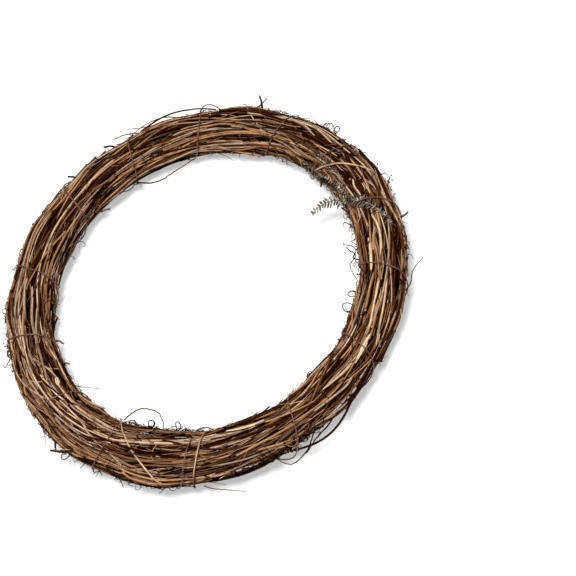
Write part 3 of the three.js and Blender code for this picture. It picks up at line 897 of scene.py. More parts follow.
@dataclass(frozen=True)
class Bark:
    """Dry grapevine bark: long fibres, grey weathered stretches, and pale wood where it has peeled.

    Attributes:
        grey: The colour of weathered stretches.
        shade_tint: The tint of the painted shade, multiplied into the colour between the stems.
        shade_colour: The colour of the painted shade, darkest far into the bundle.
        weathered: Where weathering starts, from 0, everywhere, to 1, nowhere.
        peeled: Where the bark has peeled off, from 0, everywhere, to 1, nowhere.
        spread: How much the stems differ in tone.
        scale: The levels of the dark, the middle and the pale colour.
        cells: For streaks, furrows, patches, specks and peeling, how many cells of noise lie round a stem,
            how long they are, how far the stem's tone shifts them, and their detail.
        cracked: The levels of the furrows between which a crack opens.
        speckled: The levels of the specks between which one darkens.
        covers: How much of their colour the weathered stretches, the bare wood, the cracks, the specks, the
            nodes and the painted shade's tint give.
        shade: How much of its colour the painted shade gives, further into the bundle and on the flanks.
    """

    name: str
    dark: Colour
    middle: Colour
    pale: Colour
    grey: Colour = paint(134, 102, 74)
    wood: Colour = paint(208, 170, 128)
    shade_tint: Colour = (1.0, 0.58, 0.34)
    shade_colour: Colour = (0.008, 0.002, 0.0)
    weathered: float = 0.6
    peeled: float = 0.7
    spread: float = 0.85
    scale: Row = (0.33, 0.48, 0.63)
    cells: tuple[Row, ...] = ((1.4, 40 * MM, 37, 3), (3.2, 18 * MM, 91, 3), (0.6, 80 * MM, 143, 3),
                              (1.6, 2.4 * MM, 59, 3), (1.0, 60 * MM, 211, 4))
    cracked: Span = (0.47, 0.36)
    speckled: Span = (0.57, 0.66)
    covers: Row = (0.8, 0.65, 0.72, 0.5, 0.6, 0.7)
    shade: float = 0.92
    relief: float = 0.7 * MM

    def material(self) -> bpy.types.Material:
        """Builds the material."""
        finish = Finish(self.name, Specular_IOR_Level=0.0)
        around = finish.around()
        grain_and_shade = finish.node("ShaderNodeAttribute", {"attribute_name": "grain_and_shade"}).outputs["Vector"]
        parts = finish.node("ShaderNodeSeparateXYZ", None, {"Vector": grain_and_shade})
        along, tone, painted_shade_level = (Value(finish, parts.outputs[k]) for k in range(3))
        scar = finish.value("ShaderNodeAttribute", {"attribute_name": "scar"}, None, "Fac")

        def fibres(count: float, length: float, shift: float, detail: float) -> Value:
            """Noise drawn out along the stem, in cells of a count round it and a length."""
            inputs = {"X": around.cosine() * count, "Y": around.sine() * count,
                      "Z": along * (1 / length) + tone * shift}
            vector = finish.node("ShaderNodeCombineXYZ", None, inputs).outputs["Vector"]
            return finish.noise(vector, detail=detail)

        streaks, furrows, patches, specks, peeling = (fibres(*cells) for cells in self.cells)
        level = streaks * 0.75 + furrows * 0.35 + tone * self.spread - (0.05 + 0.5 * self.spread)
        bark = finish.ramp(level, self.scale, (self.dark, self.middle, self.pale))
        bare = peeling.between(self.peeled - 0.03, self.peeled + 0.05)
        # The last two layers are painted shade: warmer, then darker, further into the bundle and on the
        # flanks.
        layers = ((patches.between(self.weathered - 0.06, self.weathered + 0.1), self.grey, "MIX"),
                  (bare, self.wood, "MIX"),
                  (furrows.between(*self.cracked), self.dark, "MIX"),
                  (specks.between(*self.speckled), self.dark, "MIX"),
                  (scar, self.dark, "MIX"),
                  (painted_shade_level, self.shade_tint, "MULTIPLY"),
                  (painted_shade_level, self.shade_colour, "MIX"))
        for (mask, colour, blend), cover in zip(layers, (*self.covers, self.shade)):
            bark = finish.mix(mask * cover, bark, colour, blend)
        height = streaks * 0.5 + furrows * 0.5 + bare * -0.25
        return finish.finish(bark, 0.88 - streaks * 0.3 - bare * 0.1, height, self.relief)


@dataclass(frozen=True)
class CutWood:
    """The cut end of a stem: pale rings of wood round a brown pith.

    Attributes:
        rings: How closely the rings of growth lie.
        pith_edge: How far from the middle the pith ends and is whole.
        bark_edge: How far from the middle the bark starts and is whole.
    """

    name: str = "cut_wood"
    wood: Colour = paint(206, 164, 112)
    ring: Colour = paint(168, 120, 72)
    pith: Colour = paint(98, 62, 36)
    rings: float = 70
    wander: float = 3
    pith_edge: Span = (0.13, 0.07)
    bark_edge: Span = (0.44, 0.5)
    relief: float = 0.2 * MM

    def material(self) -> bpy.types.Material:
        """Builds the material."""
        finish = Finish(self.name, Specular_IOR_Level=0.3)
        uv = finish.uv()
        centred = finish.node("ShaderNodeVectorMath", {"operation": "SUBTRACT"}, {0: uv, 1: (0.5, 0.5, 0)})
        inputs = {0: centred.outputs[0]}
        far = finish.value("ShaderNodeVectorMath", {"operation": "LENGTH"}, inputs, "Value")
        rough = finish.noise(uv, scale=14, detail=4)
        rings = (far * self.rings + rough * self.wander).sine() * 0.5 + 0.5
        colour = finish.mix(rings * 0.5, self.wood, self.ring)
        colour = finish.mix(far.between(*self.pith_edge), colour, self.pith)
        colour = finish.mix(far.between(*self.bark_edge) * 0.8, colour, self.pith)
        return finish.finish(colour, 0.85, rough, self.relief)


@dataclass(frozen=True)
class CoatedWire:
    """Thin wire with a dull brown coat, worn a little along its length.

    Attributes:
        worn_through: The levels of the fine noise between which the coat is worn.
        stained: The levels of the slow noise between which it darkens.
    """

    name: str = "coated_wire"
    coat: Colour = paint(98, 58, 48)
    worn: Colour = paint(140, 94, 78)
    dark: Colour = paint(60, 34, 28)
    worn_through: Span = (0.5, 0.68)
    stained: Span = (0.55, 0.4)
    relief: float = 0.08 * MM

    def material(self) -> bpy.types.Material:
        """Builds the material."""
        finish = Finish(self.name, Specular_IOR_Level=0.5)
        place = finish.place()
        wear = finish.noise(place, scale=260, detail=4)
        slow = finish.noise(place, scale=45, detail=2)
        colour = finish.mix(wear.between(*self.worn_through), self.coat, self.worn)
        colour = finish.mix(slow.between(*self.stained) * 0.6, colour, self.dark)
        return finish.finish(colour, 0.42 + wear * 0.2, wear, self.relief)


@dataclass(frozen=True)
class DryLeaf:
    """Dry leaflets and fronds, grey, with painted shade that darkens their undersides.

    Attributes:
        underside_shade: How much darker the painted shade makes their undersides.
        scale: The levels of the dark, the middle and the pale colour.
    """

    name: str
    dark: Colour
    middle: Colour
    pale: Colour
    underside_shade: float = 0.1
    scale: Row = (0.36, 0.48, 0.62)
    relief: float = 0.25 * MM

    def material(self) -> bpy.types.Material:
        """Builds the material."""
        finish = Finish(self.name, Specular_IOR_Level=0.25)
        place = finish.place()
        mottle = finish.noise(place, scale=420, detail=4)
        slow = finish.noise(place, scale=120, detail=2)
        # painted shade: lighter round the side a leaflet faces, darker on its underside
        level = mottle * 0.65 + slow * 0.35 + finish.around().cosine() * self.underside_shade - self.underside_shade
        colour = finish.ramp(level, self.scale, (self.dark, self.middle, self.pale))
        return finish.finish(colour, 0.9, mottle, self.relief)


@dataclass(frozen=True)
class PaleFloor:
    """The plain pale surface that the wreath lies on.

    Attributes:
        glow: How much light of its own it gives, so that it stays pale.
    """

    name: str = "pale_floor"
    shade: float = 0.55
    mottle: float = 0.02
    glow: float = 0.46

    def material(self) -> bpy.types.Material:
        """Builds the material."""
        finish = Finish(self.name, Specular_IOR_Level=0.2, Emission_Strength=self.glow)
        soft = finish.noise(finish.place(), scale=6, detail=2)
        return finish.finish(finish.mix(soft, (self.shade - self.mottle,) * 3, (self.shade,) * 3), 0.8)


class Tone(Enum):
    """The bark finishes, each with the record's slot that it belongs to."""

    BROWN = "brown_vine"
    DARK = "dark_vine"
    TAN = "tan_vine"
    GREY = "grey_vine"


class Finishes:
    """Every material of the wreath, built once."""

    def __init__(self) -> None:
        """Builds the materials."""
        barks = {
            Tone.BROWN: Bark("brown_bark", paint(42, 12, 2), paint(132, 74, 38), paint(206, 157, 116)),
            Tone.DARK: Bark("dark_bark", paint(25, 8, 2), paint(84, 47, 28), paint(160, 120, 92),
                            peeled=0.74),
            Tone.TAN: Bark("tan_bark", paint(58, 27, 8), paint(160, 113, 66), paint(232, 204, 170),
                           weathered=0.66),
            Tone.GREY: Bark("grey_bark", paint(33, 18, 9), paint(116, 86, 62), paint(206, 183, 162),
                            weathered=0.55),
        }
        cut = CutWood().material()
        self.bark = {tone: [bark.material(), cut] for tone, bark in barks.items()}
        self.wire = CoatedWire().material()
        leaf = DryLeaf("dry_leaf", paint(26, 18, 12), paint(96, 82, 66), paint(196, 184, 162))
        tuft = DryLeaf("grey_tuft", paint(40, 30, 22), paint(118, 100, 80), paint(190, 172, 144))
        self.sprig, self.tuft = leaf.material(), tuft.material()


@dataclass
class StemShaper:
    """Turns courses on the bundle into stems with nodes, kinks and bark ridges.

    Attributes:
        swelling_length: How long a node is to each side.
        kink: How far a stem jumps aside at a node, more or less.
        ridge: How high its ridges are, as a share of its radius.
        drift: How fast the ridges wind round it, in radians for each point.
        blur: Over how many points its roughness is drawn out.
    """

    random: np.random.Generator
    parts: int = 3
    taper: float = 0.16
    node_gap: Span = (42 * MM, 85 * MM)
    swelling: float = 0.2
    swelling_length: float = 2.4 * MM
    kink: float = 0.22 * MM
    ridge: float = 0.07
    drift: float = 0.02
    blur: int = 9

    def relief(self, rings: int, sides: int, drawn: int = 0) -> np.ndarray:
        """Long ridges and hollows round a stem.

        Args:
            rings: How many points its line has.
            sides: How many faces go round it.
            drawn: How many sides the roughness is drawn for, where that is more.

        Returns:
            The height at each ring and side, as a share of the stem's radius.
        """
        angle = FULL_TURN * np.arange(sides) / sides
        drift = np.cumsum(self.random.normal(0, self.drift, rings))[:, None]
        lobes = 0.5 * np.sin(2 * angle[None] + drift + self.random.uniform(0, 6))
        lobes = lobes + 0.5 * np.sin(3 * angle[None] - drift + self.random.uniform(0, 6))
        rough = self.random.normal(0, 1, (rings + self.blur - 1, max(sides, drawn)))[:, :sides]
        window = np.ones(self.blur) / math.sqrt(self.blur)
        blurred = np.stack([np.convolve(side, window, "valid") for side in rough.T], axis=1)
        return self.ridge * (lobes + 0.5 * blurred[:rings])

    def nodes(self, length: float) -> list[float]:
        """Where the nodes sit along a stem of a length."""
        places = [self.random.uniform(0.2, 1) * self.node_gap[1]]
        while places[-1] < length:
            places.append(places[-1] + self.random.uniform(*self.node_gap))
        return places[:-1]

    def shaped(self, places: np.ndarray, radius: float) -> Line:
        """A stem's line from its places on the bundle.

        Args:
            places: Its turn, out and up at each fine station.
            radius: Its radius at the thick end.

        Returns:
            The line, with its swollen nodes and small kinks.
        """
        points = RING.points(finer(places, self.parts))
        lengths = gone(points)
        nodes = self.nodes(lengths[-1])
        marks = np.array([0, *nodes, lengths[-1] + MM])
        shifts = self.random.normal(0, self.kink, (len(marks), 3))
        shifts[0] = shifts[-1] = 0
        scars = np.zeros(len(points))
        for node in nodes:
            scars = np.maximum(scars, bulge(lengths, node, self.swelling_length))
        share = lengths / lengths[-1]
        if self.random.random() < 0.5:
            share = 1 - share
        radii = radius * (1.02 - self.taper * share) * (1 + self.swelling * scars)
        facing = np.tile((0.0, 0.0, 1.0), (len(points), 1))
        return Line(points + read_at(lengths, marks, shifts), radii, scars, facing)


@dataclass
class Assembly:
    """Pieces of the wreath that are built on its bundle.

    Attributes:
        seed: The seed of their random numbers.
        spacing: How far apart the points of their lines are.
        sides: How many faces go round them.
    """

    bundle: Bundle
    finishes: Finishes
    seed: int = 0
    spacing: float = 1.6 * MM
    sides: int = 8

    def __post_init__(self) -> None:
        """Starts its random numbers."""
        self.random = np.random.default_rng(self.seed)

    def dress(self, mesh: StemMesh, name: str, kind: Tone, replaced: list[str] | None = None) -> None:
        """Makes a mesh a piece with a bark finish."""
        mesh.piece(name, self.finishes.bark[kind], kind.value, replaced)

    def dress_all(self, meshes: dict[Tone, StemMesh], name: str) -> None:
        """Makes each mesh a piece with its own bark finish, and names it after that too."""
        for kind, mesh in meshes.items():
            self.dress(mesh, f"{name}_{kind.name.lower()}", kind)


@dataclass
class VineStems(Assembly):
    """The wreath's vines, one piece for each CAD vine, with the tendrils and shoots that grow from it.

    Attributes:
        drawn: For how many sides the roughness is drawn.
        slimness: How thick a vine is, as a share of its CAD vine.
        wobble: How far a tendril wanders with each of its points.
    """

    drawn: int = 10
    slimness: float = 0.79
    tendril_radius: float = 0.42 * MM
    wobble: float = 0.42 * MM
    spacing: float = 0.9 * MM
    shoot_spacing: float = 2 * MM
    tendril_sides: int = 6
    seed: int = 23

    def build(self) -> None:
        """Builds every vine."""
        self.shaper = StemShaper(self.random)
        for index, name in enumerate(self.bundle.vines):
            self.vine(index, name)

    def vine(self, index: int, name: str) -> None:
        """Builds one vine and what grows from it.

        Args:
            index: Its number among the bundle's stems.
            name: Its CAD node's name.
        """
        radius = self.slimness * float(self.bundle.radius[index])
        line = self.shaper.shaped(self.bundle.places(index), radius)
        stem = StemMesh(self.bundle.painted_shade)
        tone = self.random.random()
        stem.roll(line, self.sides, tone, self.shaper.relief(len(line.points), self.sides, self.drawn))
        for sides, radius, middles in self.bundle.grown[name]:
            nearest = line.points[np.linalg.norm(line.points - middles[0], axis=1).argmin()]
            points = np.vstack((nearest, middles))
            if sides == 3:
                self.tendril(stem, points, tone)
            elif len(middles) == 2:
                self.spur(stem, points, radius, tone)
            else:
                self.shoot(stem, points, radius, tone)
        self.dress(stem, "stem_" + name[-2:], list(Tone)[index % len(Tone)], [name])

    def tendril(self, stem: StemMesh, points: np.ndarray, tone: float) -> None:
        """Adds a thin curly tendril that tapers to its tip."""
        share = np.linspace(0, 1, len(points))[:, None]
        strayed = np.cumsum(self.random.normal(0, self.wobble, points.shape), axis=0) * share**0.5
        line = evenly(points + strayed, self.spacing)
        radii = self.tendril_radius * np.linspace(1.25, 0.55, len(line))
        stem.roll(Line(line, radii), self.tendril_sides, 0.5 * tone)

    def spur(self, stem: StemMesh, points: np.ndarray, radius: float, tone: float) -> None:
        """Adds a short cut side shoot with a swollen foot."""
        bent = np.insert(points, 2, points[1:].mean(axis=0) + self.random.normal(0, 0.3 * MM, 3), axis=0)
        line = evenly(bent, self.spacing)
        share = np.linspace(0, 1, len(line))
        radii = radius * (0.82 + 0.35 * bulge(share, 0.25, 0.15) - 0.12 * share)
        scars = bulge(share, 0.3, 0.1)
        stem.roll(Line(line, radii, scars), self.sides, tone, self.shaper.relief(len(line), self.sides))

    def shoot(self, stem: StemMesh, points: np.ndarray, radius: float, tone: float) -> None:
        """Adds a long side shoot that bows away from the bundle."""
        line = evenly(points, self.shoot_spacing)
        radii = radius * np.linspace(0.72, 0.55, len(line))
        stem.roll(Line(line, radii), self.sides, 0.3 * tone, self.shaper.relief(len(line), self.sides))


@dataclass
class FillStems(Assembly):
    """The thinner stems between the vines, in one piece for each bark finish.

    Attributes:
        drawn: For how many sides the roughness is drawn.
    """

    sides: int = 5
    drawn: int = 7
    kinds: tuple[Tone, ...] = (Tone.BROWN, Tone.DARK, Tone.GREY, Tone.TAN)
    seed: int = 31

    def build(self) -> None:
        """Builds the fill stems."""
        shaper = StemShaper(self.random, parts=2, kink=0.15 * MM, ridge=0.06)
        made = {kind: StemMesh(self.bundle.painted_shade) for kind in self.kinds}
        for first, stems in enumerate(made.values(), len(self.bundle.vines)):
            for index in range(first, len(self.bundle.radius), len(made)):
                line = shaper.shaped(self.bundle.places(index), float(self.bundle.radius[index]))
                relief = shaper.relief(len(line.points), self.sides, self.drawn)
                stems.roll(line, self.sides, self.random.random(), relief)
        self.dress_all(made, "thin_stems")


@dataclass
class TopStems(Assembly):
    """Long thin stems on the bundle's surface, tied down by the wire and bowed a little in between.

    Attributes:
        drawn: For how many sides the roughness is drawn.
        length: How far they run round the ring, in degrees.
        crossing: How far round the bundle they drift over their length, in degrees.
        upwards: The share of them that drift one way.
        middle: Between which headings their middles lie, in degrees.
        sway: How far they sway round the bundle, in degrees.
        rise: How far they stand off between two turns of the wire.
        bowed: How far from a turn of the wire they stand off fully, in degrees.
        tied: How far from a turn of the wire they still sink under it, in degrees.
        tucked: The share of their ends that dive into the bundle.
        loose: How far their other ends stand off.
    """

    name: str = "top_stems"
    count: int = 190
    sides: int = 6
    drawn: int = 8
    radius: Span = (0.5 * MM, 1.1 * MM)
    length: Span = (45, 150)
    crossing: Span = (10, 80)
    upwards: float = 0.6
    middle: Span = (-25, 190)
    sway: float = 6
    rise: Span = (-0.6 * MM, 1.4 * MM)
    bowed: float = 13
    tied: float = 11
    step: float = 3.0
    tucked: float = 0.7
    loose: Span = (0.6 * MM, 2.6 * MM)
    kink: float = 0.3 * MM
    node_gap: Span = (30 * MM, 60 * MM)
    kinds: tuple[Tone, ...] = (Tone.BROWN, Tone.TAN, Tone.DARK, Tone.GREY)
    seed: int = 37

    def build(self) -> None:
        """Builds the stems, in one piece for each bark finish."""
        shaper = StemShaper(self.random, kink=self.kink, node_gap=self.node_gap)
        made = {kind: StemMesh(self.bundle.painted_shade) for kind in self.kinds}
        for share, stems in enumerate(made.values()):
            for _ in range(share, self.count, len(made)):
                self.stem(stems, shaper)
        self.dress_all(made, self.name)

    def stem(self, stems: StemMesh, shaper: StemShaper) -> None:
        """Adds one stem.

        Args:
            stems: The mesh that it is added to.
            shaper: Gives it its nodes and its relief.
        """
        radius = self.random.uniform(*self.radius)
        start = self.random.uniform(0, 360)
        steps = max(4, int(self.random.uniform(*self.length) / self.step))
        turns = start + self.step * np.arange(steps + 1)
        share = np.linspace(0, 1, steps + 1)
        drift = self.random.uniform(*self.crossing) * either_way(self.random, self.upwards)
        middle = self.random.uniform(*self.middle)
        sway = self.sway * np.sin(9 * share + self.random.uniform(0, 6))
        headings = middle + drift * (share - 0.5) + sway
        heights = self.random.uniform(*self.rise) * (1 - WIRE_TURNS.nearness(turns, self.bowed))
        heights -= (2 * radius + 0.1 * MM) * WIRE_TURNS.nearness(turns, self.tied)
        for end in (0, -1):
            chance = self.random.random()
            loose = float(np.interp(chance, (self.tucked, 1), self.loose))
            heights[end] = -2 * radius if chance < self.tucked else heights[end] + loose
        places = RING.places(self.bundle.course(zip(turns, headings, heights), radius))
        for _ in range(3):
            places[:, 1:] = smoothed(places[:, 1:])
        line = shaper.shaped(places, radius)
        tone = self.random.random()
        stems.roll(line, self.sides, tone, shaper.relief(len(line.points), self.sides, self.drawn))


@dataclass
class LooseShoots(Assembly):
    """The thin shoots laid over the bundle: those that the CAD has, and thinner ones beside them.

    Attributes:
        room: The radius that what comes later keeps clear of them.
        wanderers: Thinner shoots, each with the turn and heading in degrees where it starts and ends, its
            radius in millimetres and how far its middle stands off the bundle.
        stops: At how many places a thinner shoot's course is found.
        pressed: How far it is pressed into the bundle.
    """

    nodes: tuple[str, ...] = ("wrapped_shoot_1", "wrapped_shoot_2", "crossing_shoot")
    tones: Row = (0.5, 0.7, 0.7)
    radius: float = 0.82 * MM
    room: float = 1.05 * MM
    wanderers: tuple[Row, ...] = (
        (150, 40, 196, 130, 0.9, 0.4), (172, 20, 214, 88, 0.8, 0.2), (228, 120, 262, 40, 0.8, 0.3),
        (262, 100, 296, 30, 0.7, 0.2), (300, 60, 342, 118, 0.8, 0.2), (8, 60, 44, 120, 0.7, 0.3),
        (40, 100, 82, 48, 0.8, 0.3), (96, 60, 132, 128, 0.8, 0.2), (120, 140, 158, 70, 0.7, 0.3),
        (186, 60, 232, 20, 0.8, 0.5), (68, 140, 98, 60, 0.6, 0.3), (276, 130, 318, 70, 0.7, 0.2),
    )
    stops: int = 14
    pressed: float = 0.3 * MM
    spacing: float = 1.8 * MM
    thin_spacing: float = 2 * MM
    thin_sides: int = 7
    seed: int = 41

    def build(self) -> None:
        """Builds the shoots."""
        shaper = StemShaper(self.random, ridge=0.05)
        for name, tone in zip(self.nodes, self.tones):
            middles = CadNode(name).chain()
            line = evenly(middles, self.spacing)
            shoot = StemMesh(self.bundle.painted_shade)
            radii = self.radius * np.linspace(1, 0.75, len(line))
            shoot.roll(Line(line, radii), self.sides, tone, shaper.relief(len(line), self.sides))
            self.dress(shoot, name.replace("shoot", "stem"), Tone.TAN, [name])
            self.bundle.note(middles, self.room)
        thin = StemMesh(self.bundle.painted_shade)
        for from_turn, from_heading, to_turn, to_heading, radius, height in self.wanderers:
            turns = np.linspace(from_turn, to_turn, self.stops)
            headings = np.linspace(from_heading, to_heading, self.stops)
            heights = np.sin(np.linspace(0, math.pi, self.stops)) * height * MM - self.pressed
            points = self.bundle.course(zip(turns, headings, heights), radius * MM)
            line = evenly(points, self.thin_spacing)
            radii = radius * MM * np.linspace(1, 0.7, len(line))
            tone = self.random.random()
            thin.roll(Line(line, radii), self.thin_sides, tone, shaper.relief(len(line), self.thin_sides))
        self.dress(thin, "thin_crossing_shoots", Tone.BROWN)


@dataclass
class MarkedStems(Assembly):
    """Single stems that stand out on the bundle.

    Attributes:
        stems: Each as its finish, its radius in millimetres, its tone, and its stops, which have a turn and
            a heading in degrees and may have a height in millimetres.
        lift: How far the stems stand off the bundle between two turns of the wire, in millimetres.
        tied: How far from a turn of the wire they start to sink under it, in degrees.
    """

    stems: tuple[StemRow, ...] = (
        (Tone.TAN, 0.8, 0.7, ((152, 30), (155, 41), (158, 56), (163, 73), (168, 89), (172, 105), (175, 120),
            (179, 132), (184, 138), (190, 141))),
        (Tone.TAN, 0.65, 0.6, ((152, 26), (155, 35), (158, 45), (164, 71), (168, 92), (172, 108),
            (176, 126), (177, 146), (178, 160))),
        (Tone.TAN, 0.75, 0.7, ((155, 40), (158, 43), (162, 44), (166, 40), (170, 42), (176, 51), (179, 59),
            (182, 67), (185, 77), (186, 90))),
        (Tone.GREY, 1.2, 0.8, ((143, 110), (149, 115), (155, 115), (160, 118), (164, 120), (170, 119),
            (174, 117), (179, 111), (183, 103))),
        (Tone.GREY, 1.25, 0.65, ((136, 86), (142, 89), (148, 95), (154, 97), (159, 96), (165, 95),
            (170, 96), (175, 97))),
        (Tone.GREY, 0.9, 0.7, ((144, 68), (152, 68), (158, 74), (164, 76), (169, 76), (176, 78),
            (182, 76))),
        (Tone.BROWN, 0.8, 0.8, ((176, 51), (179, 38), (182, 26), (186, 18), (190, 16), (194, 20),
            (199, 30))),
        (Tone.TAN, 0.9, 0.6, ((187, 103), (190, 106), (194, 105), (201, 98), (205, 83), (211, 64),
            (217, 41), (219, 17), (220, 3))),
        (Tone.GREY, 1.0, 0.8, ((188, 67), (195, 62), (202, 59), (207, 57), (213, 54), (217, 48),
            (221, 37))),
        (Tone.BROWN, 0.95, 0.9, ((193, 35), (201, 35), (207, 32), (213, 27), (223, 23), (233, 18),
            (243, 17), (250, 21))),
        (Tone.TAN, 1.2, 0.5, ((214, 23), (221, 14), (231, 8), (240, 4), (243, -2))),
        (Tone.BROWN, 0.5, 0.6, ((231, 130), (229, 112), (227.5, 90), (227, 72), (228, 53))),
        (Tone.TAN, 0.9, 0.55, ((231, 71), (235, 73), (240, 79), (245, 84), (248, 85))),
        (Tone.GREY, 0.8, 0.8, ((231, 127), (238, 131), (246, 140), (253, 143))),
        (Tone.TAN, 1.25, 0.35, ((310, 153), (305, 150), (298, 142), (292, 128), (286, 107), (279, 86),
            (274, 69), (270, 55), (266, 43))),
        (Tone.TAN, 1.15, 0.85, ((345, 107), (340, 92), (335, 85), (329, 86), (322, 88), (315, 85),
            (308, 80), (304, 74), (299, 68), (294, 66), (289, 66), (284, 72), (279, 78))),
        (Tone.TAN, 0.95, 0.9, ((324, 68), (317, 65), (311, 60), (305, 52), (300, 37), (296, 21))),
        (Tone.BROWN, 1.25, 0.8, ((338, 96), (332, 105), (325, 108), (316, 105), (309, 99), (301, 90))),
        (Tone.TAN, 1.15, 0.45, ((348, 146), (337, 151), (330, 154), (323, 153), (312, 144), (302, 124),
            (295, 105))),
        (Tone.TAN, 0.95, 0.4, ((253, 24), (260, 27), (266, 26), (272, 21), (277, 11), (283, -6))),
        (Tone.BROWN, 0.9, 0.9, ((255, 47), (262, 36), (268, 21), (274, 4), (277, -5))),
        (Tone.GREY, 0.95, 0.85, ((289, 45), (286, 43), (282, 47), (277, 51), (272, 53), (268, 59))),
        (Tone.TAN, 1.05, 0.5, ((71, 119), (66, 108), (55, 104), (48, 108), (41, 118), (33, 131), (24, 140),
            (17, 148))),
        (Tone.BROWN, 0.85, 0.95, ((63, 160), (56, 153), (49, 151), (41, 152), (35, 152), (25, 153),
            (19, 158))),
        (Tone.TAN, 0.55, 0.6, ((46, 27), (44, 52), (42, 76), (38, 108), (35, 122), (28, 127))),
        (Tone.TAN, 0.8, 0.75, ((39, 41), (33, 49), (27, 55), (19, 58), (11, 63), (5, 61))),
        (Tone.GREY, 1.45, 0.7, ((35, 37), (30, 47), (25, 61), (16, 81))),
        (Tone.TAN, 0.8, 0.45, ((90, 111), (83, 113), (76, 120), (68, 126))),
        (Tone.BROWN, 0.9, 0.8, ((109, 110), (99, 107), (89, 103), (78, 91), (69, 74), (60, 56))),
        (Tone.TAN, 0.95, 0.9, ((357, 97, 0.6), (354, 107), (350, 104), (345, 98), (338, 90))),
    )
    lift: float = 0.5
    tied: float = 9
    seed: int = 43

    def build(self) -> None:
        """Builds the stems, in one piece for each bark finish."""
        shaper = StemShaper(self.random, ridge=0.06)
        made: dict[Tone, StemMesh] = {}
        for kind, radius, tone, stops in self.stems:
            turns, headings, heights = finer(np.array([(*stop, 0.0)[:3] for stop in stops]), 4).T
            nearness = WIRE_TURNS.nearness(turns, self.tied)
            heights = heights + self.lift - (2 * radius + self.lift) * nearness
            ends = np.minimum(np.arange(len(turns)), np.arange(len(turns))[::-1])
            heights = heights - 2 * radius * np.clip(1 - ends / 3, 0, 1)
            points = self.bundle.course(zip(turns, headings, heights * MM), radius * MM)
            line = evenly(smoothed(points), self.spacing)
            share = np.linspace(0, 1, len(line))
            scars = bulge(share, self.random.uniform(0.2, 0.8), 0.04)
            radii = radius * MM * (1 - 0.2 * share) * (1 + 0.25 * scars)
            mesh = made.setdefault(kind, StemMesh(self.bundle.painted_shade))
            mesh.roll(Line(line, radii, scars), self.sides, tone, shaper.relief(len(line), self.sides))
        self.dress_all(made, "marked_stems")


@dataclass
class BindingWire(Assembly):
    """The thin wire wound round the bundle."""

    radius: float = 0.43 * MM

    def build(self) -> None:
        """Builds the wire along the CAD wire's own middles."""
        middles = lifted(CadNode("binding_wire").chain(), self.radius)
        line = lifted(evenly(middles, self.spacing), self.radius)
        wire = StemMesh()
        wire.roll(Line(line, np.full(len(line), self.radius)), self.sides, 0.5)
        wire.piece("wound_wire", [self.finishes.wire] * 2, "wire", ["binding_wire"])
        self.bundle.note(middles, self.radius)


class TendrilForm(Enum):
    """The ways in which a dry tendril is curled."""

    CURL = "curl"
    WAVE = "wave"
    HOOK = "hook"
    COIL = "coil"
    STUB = "stub"
    CRINKLE = "crinkle"

    def course(self, share: np.ndarray) -> np.ndarray:
        """The course of a tendril with a size of 1.

        Args:
            share: How far along its length each point lies, from 0 to 1.

        Returns:
            The distances along the stem, outwards and across.
        """
        if self is TendrilForm.CURL:
            angle = 9.5 * share - math.pi / 2
            radius = 1 - 0.6 * share
            return np.column_stack((radius * np.cos(angle), 1 + radius * np.sin(angle), 0.7 * share))
        if self is TendrilForm.WAVE:
            rise = 1.3 * share + 0.35 * np.sin(9 * share)
            return np.column_stack((2.4 * share, rise, 0.4 * np.sin(7 * share)))
        if self is TendrilForm.HOOK:
            rise = 3 * share * (1 - 0.55 * share)
            return np.column_stack((1.6 * np.sin(2.6 * share), rise, 0.3 * share))
        if self is TendrilForm.STUB:
            rise = 1.3 * share - 0.4 * share**3
            return np.column_stack((1.5 * share, rise, 0.25 * np.sin(4 * share)))
        if self is TendrilForm.CRINKLE:
            along = 1.9 * share + 0.3 * np.sin(11 * share)
            return np.column_stack((along, 1.1 * np.sin(2.4 * share), 0.55 * np.sin(8 * share) * share))
        angle = 19 * share
        radius = 0.5 * (1 - 0.35 * share)
        return np.column_stack((radius * np.cos(angle) - 0.5, 2.6 * share + 0.2, radius * np.sin(angle)))


